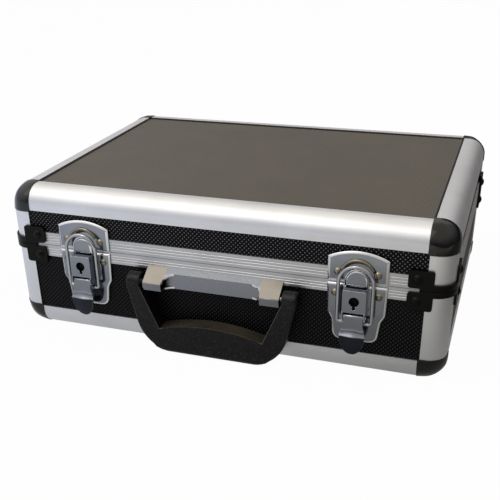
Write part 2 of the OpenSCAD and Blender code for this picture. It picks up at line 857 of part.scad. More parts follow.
// Front view of the handle run through its depth: two arms, wide corners and the grip
module handle_front() {
    meet = [corner_x + handle_corner * cos(arm_lean), corner_u - handle_corner * sin(arm_lean)];
    at_front() difference() {
        union() {
            linear_extrude(far) polygon([[-corner_x, handle_low], [-meet.x, meet.y],
                [-arm_out, arm_knee], [-arm_out, 0], [arm_out, 0], [arm_out, arm_knee],
                [meet.x, meet.y], [corner_x, handle_low]]);
            for (s = [-1, 1]) translate([s * corner_x, corner_u, 0])
                cylinder(r = handle_corner + seam, h = far);
        }
        translate([0, 0, -1]) linear_extrude(far + 2) handle_window();
    }
}

// Side view of the handle: round about the pins and at its foot
module handle_side() {
    translate([pivot_out, -pivot_drop]) circle(handle_t / 2);
    rounded_rect(pivot_out - handle_t / 2, handle_low,
                 pivot_out + handle_t / 2, -pivot_drop, handle_foot_r);
    translate([pivot_out - handle_t / 2, -pivot_drop - 10]) square([handle_t, 10]);
}

module handle_grip() {
    // from just inside the inner face to past the end of the pin
    bore = arm_w - 0.5;
    color("#17191c") difference() {
        intersection() {
            handle_front();
            front_sweep(4 * arm_out) handle_side();
        }
        for (s = [-1, 1]) front_rod(pivot_r + run_gap, bore, pivot_out, -pivot_drop,
            s * (arm_in - 1 + bore / 2));
    }
}

// Hinges are drawn in front coordinates and turned to the back of the case
module at_back() {
    rotate([0, 0, 180]) children();
}

function knuckle_len() = (hinge_len - 2 * split_gap) / 3;

// Leaf outline across the hinge: full width away from the knuckles
module leaf_plate(s) {
    at_front() linear_extrude(leaf_t) translate([0, s * (leaf_h + leaf_from) / 2])
        square([hinge_len, leaf_h - leaf_from], center = true);
    rim_h = s > 0 ? lid_rim_h : base_rim_h;
    at_front(-panel_in) linear_extrude(panel_in + eps)
        translate([0, s * (leaf_h + rim_h + pad_gap) / 2])
            square([hinge_len, leaf_h - rim_h - pad_gap], center = true);
}

// One knuckle with the strap that joins it to its leaf
module knuckle(x, len, s) {
    front_rod(knuckle_r, len, axis_out, axis_u, x);
    at_front() linear_extrude(leaf_t) translate([x, s * (leaf_from + 1) / 2])
        square([len, leaf_from + 1], center = true);
}

// Arm on which the open lid leaf comes to rest
module stop_section() {
    a = lid_stop;
    face = axis_out - leaf_t;
    near = 1.3 * knuckle_r;
    reach = 3 * knuckle_r;
    clear = 0.3;
    low = -0.7 * leaf_h;
    p = [for (h = [near, reach]) [axis_out - face * cos(a) + h * sin(a),
                                  axis_u + face * sin(a) + h * cos(a) - clear]];
    polygon([[0, -leaf_from], [axis_out, -leaf_from / 4], p[0], p[1],
             [p[1].x, p[1].y - 2 * leaf_t], [2 * leaf_t, low], [0, low]]);
}

module hinge_base_leaf() {
    len = knuckle_len();
    difference() {
        union() {
            leaf_plate(-1);
            for (s = [-1, 1]) {
                knuckle(s * (len + split_gap), len, -1);
                front_sweep(stop_w, s * (hinge_len - stop_w) / 2) stop_section();
            }
        }
        front_rod(hinge_pin_r + 0.02, hinge_len + 2, axis_out, axis_u);
    }
}

module hinge_lid_leaf() {
    difference() {
        union() {
            leaf_plate(1);
            knuckle(0, knuckle_len(), 1);
        }
        front_rod(hinge_pin_r + run_gap, hinge_len + 2, axis_out, axis_u);
    }
}

module for_hinges() {
    at_back() for (s = [-1, 1]) translate([s * hinge_x, 0, 0]) children();
}

module rivet_pair(x, u, out) {
    for (s = [-1, 1]) at_front(out) translate([s * x, u, 0])
        dome(latch_rivet_r, latch_rivet_rise);
}

module base_rivets() {
    color("#a5a7ab") {
        for_latches() rivet_pair(plate_rivet.x, plate_rivet.y, plate_t);
        for_hinges() rivet_pair(leaf_rivet.x, -leaf_rivet.y, leaf_t);
    }
}

module lid_rivets() {
    color("#a5a7ab") {
        for_latches() rivet_pair(keeper_rivet.x, keeper_rivet.y, plate_t);
        for_hinges() rivet_pair(leaf_rivet.x, leaf_rivet.y, leaf_t);
    }
}

module side_panel(is_lid, k) {
    color(is_lid ? "#2b2a29" : "#161617") half(is_lid)
        wall_panel(k, is_lid ? lid_h : base_h, is_lid ? lid_web + slot_gap : panel_top_gap);
}

module side_edge(is_lid, k) {
    color("#c9cbd2") half(is_lid) edge_profile(k);
}

module side_rim(is_lid, k) {
    color("#b9b9bd") half(is_lid) {
        if (is_lid) rim(k, lid_h) lid_rim_section();
        else rim(k, base_h) base_rim_section();
    }
}

module half_corners(is_lid) {
    color("#0a0a0b") half(is_lid) ball_corners();
}

module half_posts(is_lid) {
    color("#b3b7bd") half(is_lid) corner_posts(is_lid ? lid_h : base_h);
}

module half_braces(is_lid) {
    color("#0a0a0b") half(is_lid) {
        if (is_lid) braces(lid_h, lid_rim_h, split_gap);
        else braces(base_h, base_rim_h, 0);
    }
}

module half_brace_rivets(is_lid) {
    color("#101012") half(is_lid) brace_rivets(is_lid ? lid_h : base_h);
}

color("#161617") half(false) broad_panel();  // base_floor_panel
side_panel(false, 0);  // base_front_panel
side_panel(false, 1);  // base_right_panel
side_panel(false, 2);  // base_back_panel
side_panel(false, 3);  // base_left_panel
side_edge(false, 0);  // base_front_edge
side_edge(false, 1);  // base_right_edge
side_edge(false, 2);  // base_back_edge
side_edge(false, 3);  // base_left_edge
half_posts(false);  // base_corner_posts
half_corners(false);  // base_ball_corners
side_rim(false, 0);  // base_front_rim
side_rim(false, 1);  // base_right_rim
side_rim(false, 2);  // base_back_rim
side_rim(false, 3);  // base_left_rim
half_braces(false);  // base_corner_braces
half_brace_rivets(false);  // base_brace_rivets
base_rivets();
base_foam();
color("#5a5652") half(true) broad_panel();  // lid_top_panel
side_panel(true, 0);  // lid_front_panel
side_panel(true, 1);  // lid_right_panel
side_panel(true, 2);  // lid_back_panel
side_panel(true, 3);  // lid_left_panel
side_edge(true, 0);  // lid_front_edge
side_edge(true, 1);  // lid_right_edge
side_edge(true, 2);  // lid_back_edge
side_edge(true, 3);  // lid_left_edge
half_posts(true);  // lid_corner_posts
half_corners(true);  // lid_ball_corners
side_rim(true, 0);  // lid_front_rim
side_rim(true, 1);  // lid_right_rim
side_rim(true, 2);  // lid_back_rim
side_rim(true, 3);  // lid_left_rim
half_braces(true);  // lid_corner_braces
half_brace_rivets(true);  // lid_brace_rivets
lid_rivets();
lid_foam();
translate([-latch_x, 0, 0]) latch_plate();  // left_latch_plate
translate([latch_x, 0, 0]) latch_plate();  // right_latch_plate
translate([-latch_x, 0, 0]) lock_housing();  // left_lock_housing
translate([latch_x, 0, 0]) lock_housing();  // right_lock_housing
translate([-latch_x, 0, 0]) keeper();  // left_keeper
translate([latch_x, 0, 0]) keeper();  // right_keeper
translate([-latch_x, 0, 0]) lever();  // left_lever
translate([latch_x, 0, 0]) lever();  // right_lever
translate([-latch_x, 0, 0]) bail();  // left_bail
translate([latch_x, 0, 0]) bail();  // right_bail
translate([-latch_x, 0, 0]) lock_bolt();  // left_lock_bolt
translate([latch_x, 0, 0]) lock_bolt();  // right_lock_bolt
lever_pins();
handle_bracket();
handle_grip();
handle_pins();
color("#a5a7ab") for_hinges() hinge_base_leaf();  // hinge_base_leaves
color("#a5a7ab") for_hinges() hinge_lid_leaf();  // hinge_lid_leaves
color("#b5b7bb") for_hinges()  // hinge_pins
    front_rod(hinge_pin_r, hinge_len, axis_out, axis_u);
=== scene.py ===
"""Looks of a microphone flight case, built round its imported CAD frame.

Lengths are written in millimetres in the case's own frame: X to the right seen from
the latches, Y to the hinges at the back, Z up, the origin on the ground under the
middle of the closed case. Blender's metres are reached through MM. Only the studio's
floor, lamps and slopes of light are given in metres.
"""

import logging
import math
from dataclasses import dataclass, field
from enum import Enum
from typing import Callable, Iterable, Sequence

import bmesh
import bpy
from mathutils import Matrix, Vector


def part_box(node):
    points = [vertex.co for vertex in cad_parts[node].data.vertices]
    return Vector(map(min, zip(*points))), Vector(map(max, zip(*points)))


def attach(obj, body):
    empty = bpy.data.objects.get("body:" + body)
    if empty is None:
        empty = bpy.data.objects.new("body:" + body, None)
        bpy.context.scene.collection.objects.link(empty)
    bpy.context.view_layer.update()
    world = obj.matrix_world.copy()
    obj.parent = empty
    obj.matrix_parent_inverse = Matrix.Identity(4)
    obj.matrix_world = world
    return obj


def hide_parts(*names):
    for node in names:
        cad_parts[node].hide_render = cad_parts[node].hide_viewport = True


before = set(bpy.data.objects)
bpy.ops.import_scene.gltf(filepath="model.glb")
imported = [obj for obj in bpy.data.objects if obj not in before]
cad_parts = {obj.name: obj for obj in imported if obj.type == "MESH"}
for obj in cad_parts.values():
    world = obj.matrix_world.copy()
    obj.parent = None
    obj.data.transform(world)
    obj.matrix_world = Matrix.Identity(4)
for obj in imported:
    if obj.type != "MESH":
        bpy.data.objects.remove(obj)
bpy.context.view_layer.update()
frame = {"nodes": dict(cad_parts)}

MM = 0.001
LOG = logging.getLogger("flight_case")
logging.basicConfig(level=logging.INFO, format="%(name)s: %(message)s")

Colour = tuple[float, float, float, float]
Point = tuple[float, float, float]
Slope = tuple[float, float, float, float]


class Plane(Enum):
    """The two axes that a pattern lies along on a flat board."""

    FRONT = ("X", "Z")
    SIDE = ("Y", "Z")
    TOP = ("X", "Y")


class Along(Enum):
    """The axis that an extrusion was drawn along."""

    X = 0
    Y = 1
    Z = 2


def srgb(code: str) -> Colour:
    """Turn a hex colour into Blender's linear colour.

    Args:
        code: the colour as #rrggbb in sRGB.

    Returns:
        Linear red, green, blue and an alpha of one.
    """
    parts = [int(code[i : i + 2], 16) / 255 for i in (1, 3, 5)]
    linear = [p / 12.92 if p <= 0.04045 else ((p + 0.055) / 1.055) ** 2.4 for p in parts]
    return (*linear, 1.0)


def add_node(
    tree: bpy.types.NodeTree, kind: str, inputs: dict | None = None, **settings: object
) -> bpy.types.Node:
    """Add a node with its settings, socket values and links.

    Args:
        tree: the node tree that gets the node.
        kind: the node's type name.
        inputs: a value or another node's output socket for each input socket.
        settings: the node's own properties.

    Returns:
        The new node.
    """
    made = tree.nodes.new(kind)
    for name, value in settings.items():
        setattr(made, name, value)
    for key, value in (inputs or {}).items():
        if isinstance(value, bpy.types.NodeSocket):
            tree.links.new(value, made.inputs[key])
        else:
            made.inputs[key].default_value = value
    return made


@dataclass(frozen=True)
class Finish:
    """A surface finish, from which one material is made.

    The noise that every finish has is handling and casting variation: a slow change
    of colour over some centimetres, and a fine one of gloss under a millimetre. The
    colour turns to the second tone as its noise runs between the two thresholds. Where
    a finish draws that tone on grain peaks or round pores, it is painted light: painted
    glints on the peaks, or pore walls lighter than the painted shade in the pores.
    """

    name: str
    colour: str
    wear_and_lit_tone: str
    roughness: float
    metallic: float = 0.0
    specular: float = 0.5
    vary: float = 0.06
    grain_mm: float = 0.5
    grain_depth_mm: float = 0.004
    patch_mm: float = 30.0
    wear_and_lit_from: float = 0.35
    wear_and_lit_to: float = 0.75
    noise_low: float = 0.3
    noise_high: float = 0.7
    least_roughness: float = 0.02

    def material(self) -> bpy.types.Material:
        """Make the finish's material, once for all the pieces that share it.

        Returns:
            The material.
        """
        found = bpy.data.materials.get(self.name)
        if found:
            return found
        made = bpy.data.materials.new(self.name)
        made.use_nodes = True
        made.node_tree.nodes.clear()
        made.diffuse_color = srgb(self.colour)
        made.metallic = self.metallic
        made.roughness = self.roughness
        self.draw(made.node_tree)
        return made

    def place(self, tree: bpy.types.NodeTree, stretch: Point = (1, 1, 1)) -> bpy.types.NodeSocket:
        """Add object coordinates in millimetres, stretched along the axes.

        Args:
            tree: the material's node tree.
            stretch: factors by which the pattern is drawn out.

        Returns:
            The socket with the coordinates.
        """
        where = add_node(tree, "ShaderNodeTexCoord").outputs["Object"]
        scale = tuple(1 / (MM * s) for s in stretch)
        return add_node(
            tree, "ShaderNodeMapping", {"Vector": where, "Scale": scale}
        ).outputs[0]

    def noise(
        self, tree: bpy.types.NodeTree, where: bpy.types.NodeSocket, size_mm: float, detail: float
    ) -> bpy.types.NodeSocket:
        """Add a noise whose features have a real size.

        Args:
            tree: the material's node tree.
            where: the coordinates in millimetres.
            size_mm: the size of its features.
            detail: how many finer layers it has.

        Returns:
            The socket with its value.
        """
        return add_node(
            tree,
            "ShaderNodeTexNoise",
            {"Vector": where, "Scale": 1 / size_mm, "Detail": detail, "Roughness": 0.55},
        ).outputs["Fac"]

    def tint(
        self, tree: bpy.types.NodeTree, amount: bpy.types.NodeSocket
    ) -> bpy.types.NodeSocket:
        """Blend from the main colour to the second tone by a noise.

        Args:
            tree: the material's node tree.
            amount: the noise.

        Returns:
            The socket with the colour.
        """
        share = add_node(
            tree,
            "ShaderNodeMapRange",
            {"Value": amount, "From Min": self.wear_and_lit_from, "From Max": self.wear_and_lit_to},
        ).outputs[0]
        return add_node(
            tree,
            "ShaderNodeMix",
            {"Factor": share, "A": srgb(self.colour), "B": srgb(self.wear_and_lit_tone)},
            data_type="RGBA",
        ).outputs["Result"]

    def surface(
        self,
        tree: bpy.types.NodeTree,
        colour: bpy.types.NodeSocket,
        handling: bpy.types.NodeSocket,
        height: bpy.types.NodeSocket,
        depth_mm: float,
    ) -> None:
        """Add the surface shader and wire it to the output.

        Args:
            tree: the material's node tree.
            colour: the surface's colour.
            handling: a noise that varies the roughness round the finish's own value.
            height: the relief's height, from 0 to 1.
            depth_mm: the relief's real depth.
        """
        roughness = add_node(
            tree,
            "ShaderNodeMapRange",
            {
                "Value": handling,
                "From Min": self.noise_low,
                "From Max": self.noise_high,
                "To Min": max(self.least_roughness, self.roughness - self.vary),
                "To Max": self.roughness + self.vary,
            },
        ).outputs[0]
        normal = add_node(
            tree,
            "ShaderNodeBump",
            {"Height": height, "Distance": depth_mm * MM, "Strength": 1.0},
        ).outputs[0]
        lit = add_node(
            tree,
            "ShaderNodeBsdfPrincipled",
            {
                "Base Color": colour,
                "Roughness": roughness,
                "Normal": normal,
                "Metallic": self.metallic,
                "Specular IOR Level": self.specular,
            },
        )
        add_node(tree, "ShaderNodeOutputMaterial", {"Surface": lit.outputs[0]})

    def draw(self, tree: bpy.types.NodeTree) -> None:
        """Draw a plain finish: patches of tone over a fine grain.

        Args:
            tree: the material's node tree.
        """
        where = self.place(tree)
        patch = self.noise(tree, where, self.patch_mm, detail=4)
        grain = self.noise(tree, where, self.grain_mm, detail=2)
        self.surface(tree, self.tint(tree, patch), grain, grain, self.grain_depth_mm)


@dataclass(frozen=True)
class DrawnAluminium(Finish):
    """Satin anodised extrusion: die lines along its length, a soft broad highlight.

    Real die lines are about a tenth of a millimetre apart. These are drawn coarser, as
    coarse as they need to show.
    """

    along: Along = Along.X
    line_mm: float = 0.35
    drawn_out: float = 90.0
    wear_and_lit_from: float = 0.4
    wear_and_lit_to: float = 0.8

    def draw(self, tree: bpy.types.NodeTree) -> None:
        """Draw die lines that run along the extrusion, and patches of tone.

        Args:
            tree: the material's node tree.
        """
        stretch = tuple(self.drawn_out if axis is self.along else 1.0 for axis in Along)
        lines = self.noise(tree, self.place(tree, stretch), self.line_mm, detail=3)
        patch = self.noise(tree, self.place(tree), self.patch_mm, detail=3)
        self.surface(tree, self.tint(tree, patch), lines, lines, self.grain_depth_mm)


@dataclass(frozen=True)
class DimpledLaminate(Finish):
    """Black ABS laminate pressed over a mesh of fine round studs in a diamond grid, with the studs
    painted lighter as a painted highlight.
    """

    plane: Plane = Plane.FRONT
    pitch_mm: float = 2.05
    stud_mm: float = 0.62
    stud_crown: float = 0.35
    stud_height_mm: float = 0.12
    stud_highlight: str = "#5d5d62"

    def draw(self, tree: bpy.types.NodeTree) -> None:
        """Draw the stud grid at 45 degrees to the board's edges over a fine grain.

        Args:
            tree: the material's node tree.
        """
        where = self.place(tree)
        parts = add_node(tree, "ShaderNodeSeparateXYZ", {"Vector": where})
        a, b = (parts.outputs[axis] for axis in self.plane.value)
        half_cell = self.pitch_mm * math.sqrt(2) / 2
        squares = []
        for how in ("ADD", "SUBTRACT"):
            run = add_node(tree, "ShaderNodeMath", {0: a, 1: b}, operation=how).outputs[0]
            away = add_node(
                tree, "ShaderNodeMath", {0: run, 1: half_cell}, operation="PINGPONG"
            ).outputs[0]
            square = add_node(tree, "ShaderNodeMath", {0: away, 1: 2.0}, operation="POWER")
            squares.append(square.outputs[0])
        span = add_node(
            tree, "ShaderNodeMath", {0: squares[0], 1: squares[1]}, operation="ADD"
        ).outputs[0]
        reach = add_node(tree, "ShaderNodeMath", {0: span}, operation="SQRT").outputs[0]
        rim = self.stud_mm * math.sqrt(2)
        stud = add_node(
            tree,
            "ShaderNodeMapRange",
            {
                "Value": reach,
                "From Min": rim * self.stud_crown,
                "From Max": rim,
                "To Min": 1.0,
                "To Max": 0.0,
            },
            interpolation_type="SMOOTHSTEP",
        ).outputs[0]
        grain = self.noise(tree, where, self.grain_mm, detail=2)
        patch = self.noise(tree, where, self.patch_mm, detail=4)
        # The studs are painted lighter than the sheet, as a painted highlight.
        colour = add_node(
            tree,
            "ShaderNodeMix",
            {"Factor": stud, "A": self.tint(tree, patch), "B": srgb(self.stud_highlight)},
            data_type="RGBA",
        ).outputs["Result"]
        self.surface(tree, colour, grain, stud, self.stud_height_mm)


@dataclass(frozen=True)
class Foam(Finish):
    """Open cell polyurethane foam: matt, with pores about a millimetre wide that are painted dark
    as painted shade.
    """

    pore_mm: float = 0.9
    pore_depth_mm: float = 0.35
    wear_and_lit_from: float = 0.15
    wear_and_lit_to: float = 0.6

    def draw(self, tree: bpy.types.NodeTree) -> None:
        """Draw round pores sunk into a matt body, painted darker than their walls as painted shade.

        Args:
            tree: the material's node tree.
        """
        where = self.place(tree)
        cells = add_node(
            tree, "ShaderNodeTexVoronoi", {"Vector": where, "Scale": 1 / self.pore_mm}
        ).outputs["Distance"]
        patch = self.noise(tree, where, self.patch_mm, detail=4)
        # The pores are painted darker than their walls, as painted shade.
        self.surface(tree, self.tint(tree, cells), patch, cells, self.pore_depth_mm)


@dataclass(frozen=True)
class Speckled(Finish):
    """A grained surface whose peaks are painted lighter, as painted glints where they catch the
    light.

    The real grain is a few tenths of a millimetre. It is drawn as coarse as it needs
    to show.
    """

    wear_and_lit_from: float = 0.58
    wear_and_lit_to: float = 0.76

    def draw(self, tree: bpy.types.NodeTree) -> None:
        """Draw painted glints as specks on the peaks of a coarse grain.

        Args:
            tree: the material's node tree.
        """
        grain = self.noise(tree, self.place(tree), self.grain_mm, detail=3)
        self.surface(tree, self.tint(tree, grain), grain, grain, self.grain_depth_mm)


# The sheet is near black, and its studs are painted lighter, a painted highlight that
# draws rows of fine dots. The sides' studs are painted lighter than the front's as
# painted light, and the top, which lies in full light, has its sheet and studs
# painted a warm grey, as painted light on the same black laminate.
LAMINATE = {
    Plane.FRONT: DimpledLaminate(
        "dimpled_abs_laminate_front", "#040405", "#070708", 0.42, specular=0.1, vary=0.05,
        grain_mm=0.8, plane=Plane.FRONT, stud_highlight="#3e3f45", stud_mm=0.55,
    ),
    Plane.SIDE: DimpledLaminate(
        "dimpled_abs_laminate_side", "#040405", "#070708", 0.42, specular=0.1, vary=0.05,
        grain_mm=0.8, plane=Plane.SIDE, stud_highlight="#55565d", stud_mm=0.55,
    ),
    Plane.TOP: DimpledLaminate(
        "dimpled_abs_laminate_top", "#443f36", "#4b453c", 0.45, specular=0.5, vary=0.05,
        grain_mm=0.8, plane=Plane.TOP, stud_highlight="#7c7566",
    ),
}
# Low light picks out the studs of the lid's front strip, so they are lighter there.
LAMINATE_LID_FRONT = DimpledLaminate(
    "dimpled_abs_laminate_lid_front", "#040405", "#070708", 0.42, specular=0.1, vary=0.05,
    grain_mm=0.8, plane=Plane.FRONT, stud_highlight="#7b7c85", stud_mm=0.52,
)
# Satin anodising over die lines gives the wide profiles a broad, even sheen.
PROFILE = {
    along: DrawnAluminium(
        name=f"anodised_profile_{along.name.lower()}",
        colour="#e8e9ed",
        wear_and_lit_tone="#dddee2",
        roughness=0.48,
        metallic=1.0,
        vary=0.03,
        grain_depth_mm=0.002,
        along=along,
    )
    for along in Along
}
# The rim's strips are a little duller and streakier than the profiles.
RIM_STRIP = {
    along: DrawnAluminium(
        name=f"anodised_rim_{along.name.lower()}",
        colour="#c6c7ca",
        wear_and_lit_tone="#bbbbbd",
        roughness=0.42,
        metallic=1.0,
        vary=0.05,
        grain_depth_mm=0.004,
        along=along,
        line_mm=0.5,
    )
    for along in Along
}
# The moulded corners are near black, with small crisp highlights on their bends.
BLACK_ABS = Finish(
    "moulded_black_abs", "#030303", "#060606", 0.09, specular=0.5, vary=0.02, grain_mm=2.0,
    grain_depth_mm=0.001,
)
# The braces at the rim are duller than the corners, and stay black in any light.
BLACK_NYLON = Finish(
    "moulded_black_nylon", "#040404", "#080808", 0.34, specular=0.14, vary=0.05, grain_mm=0.8,
    grain_depth_mm=0.003,
)
# A black bead round the panel is painted shade: it draws the thin dark line beside the frame where
# the frame's lip shades the panel.
PAINTED_SHADOW_FILLET = Finish(
    "painted_shadow_fillet", "#030303", "#070707", 0.45, specular=0.2, vary=0.05, grain_mm=1.5,
    grain_depth_mm=0.02,
)
# The handle's sides are eroded to a fine matt grain that breaks its highlights; its lighter specks
# are painted glints on the grain's peaks.
HANDLE_PP = Speckled(
    "moulded_black_polypropylene", "#030405", "#4c4c50", 0.38, specular=0.28, vary=0.1,
    grain_mm=0.8, grain_depth_mm=0.06,
)
# On top of the grip the plastic is rubbed smooth. Its lighter colour there, and on the arms' inner
# edges, is a painted sheen.
HANDLE_SMOOTH_SHEEN = Finish(
    "smooth_black_polypropylene", "#2c2923", "#464239", 0.18, specular=0.5, vary=0.05,
    grain_mm=1.5, grain_depth_mm=0.002,
)
# Pressed sheet under dull nickel mirrors the room as soft greys.
NICKEL = Finish(
    "nickel_plated_steel", "#8f939b", "#81858c", 0.15, metallic=1.0, vary=0.03, grain_mm=2.0,
    grain_depth_mm=0.0006,
)
# The rolled edges of the pressed sheets are painted a brighter nickel, as a painted highlight.
NICKEL_EDGE_HIGHLIGHT = Finish(
    "nickel_painted_edge_highlight", "#f2f3f5", "#dcdee2", 0.22, metallic=1.0, vary=0.04,
    grain_mm=2.0, grain_depth_mm=0.0006,
)
# The thumb tabs are polished, and painted dark as a painted reflection of the dark side of the
# room.
TAB_PAINTED_REFLECTION = Finish(
    "polished_tab_painted_dark_reflection", "#2e313a", "#3b3e47", 0.07, metallic=1.0, vary=0.02,
    grain_mm=2.5, grain_depth_mm=0.0004,
)
# The bracket's drawn in middle keeps the coarse skin of its die, and its bright specks are painted
# glints on that grain.
BRACKET_RECESS = Speckled(
    "coarse_chromed_recess", "#8d9098", "#c4c6cc", 0.34, metallic=1.0, vary=0.08,
    grain_mm=0.7, grain_depth_mm=0.012,
)
# The bracket's bent edges are painted bright, a painted highlight for the thin lines of light that
# they gather.
CHROME_EDGE_HIGHLIGHT = Finish(
    "bright_chrome_edge", "#f6f5f2", "#e4e3e0", 0.12, metallic=1.0, vary=0.03, grain_mm=2.5,
    grain_depth_mm=0.0006,
)
# Rivet heads and the keeper's rib are tinted a warm grey, and give back a soft warm light.
WARM_TINT_NICKEL = Finish(
    "warm_tint_nickel", "#8a8371", "#9a917e", 0.3, metallic=1.0, vary=0.06, grain_mm=0.8,
    grain_depth_mm=0.002,
)
# The handle's bracket mirrors the room in long soft bands.
CHROME = Finish(
    "chrome_plated_sheet", "#8b867f", "#827e79", 0.1, metallic=1.0, vary=0.02, grain_mm=2.5,
    grain_depth_mm=0.0002,
)
# Plated wire mirrors the room in one thin line along each bend.
WIRE = Finish(
    "plated_spring_wire", "#c3c4c8", "#9c9da1", 0.14, metallic=1.0, vary=0.04, grain_mm=1.0,
    grain_depth_mm=0.001,
)
# Pins and bolts are turned and plated, with a soft grey shine on their ends.
STEEL = Finish(
    "plated_steel_pin", "#b9babd", "#8e8e90", 0.25, metallic=1.0, vary=0.08, grain_mm=0.8,
    grain_depth_mm=0.002,
)
# The lock's barrel is die casting; its black is painted shade, so that the keyhole reads as a black
# hole.
LOCK_CORE_SHADE = Finish("lock_barrel_painted_shade", "#020202", "#050505", 0.5, specular=0.1, grain_mm=0.6)
# Open pores swallow the light, so the foam is dark and has no shine.
PACKING_FOAM = Foam("open_cell_foam", "#17171a", "#34343a", 0.95, specular=0.1, patch_mm=20)


class Part(Enum):
    """What a choice on the bench takes: points, edges or faces."""

    POINT = "VERT"
    EDGE = "EDGE"
    FACE = "FACE"


Test = Callable[[Vector, Vector], bool]
# Places that are nearer to each other than this are taken as one.
NEAR = 0.01


def metres(place: Sequence[float]) -> Vector:
    """Turn a place or a step in millimetres into metres."""
    return Vector(place) * MM


def box_mm(node: str) -> tuple[Vector, Vector]:
    """Return a CAD node's lowest and highest corners in millimetres."""
    low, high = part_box(node)
    return Vector(low) / MM, Vector(high) / MM


def middle_and_way(edge: bmesh.types.BMEdge) -> tuple[Vector, Vector]:
    """Return an edge's middle in millimetres and its direction."""
    a, b = (end.co for end in edge.verts)
    return (a + b) / (2 * MM), (b - a).normalized()


def clear_bench() -> None:
    """Leave edit mode and deselect everything."""
    if bpy.context.mode != "OBJECT":
        bpy.ops.object.mode_set(mode="OBJECT")
    bpy.ops.object.select_all(action="DESELECT")


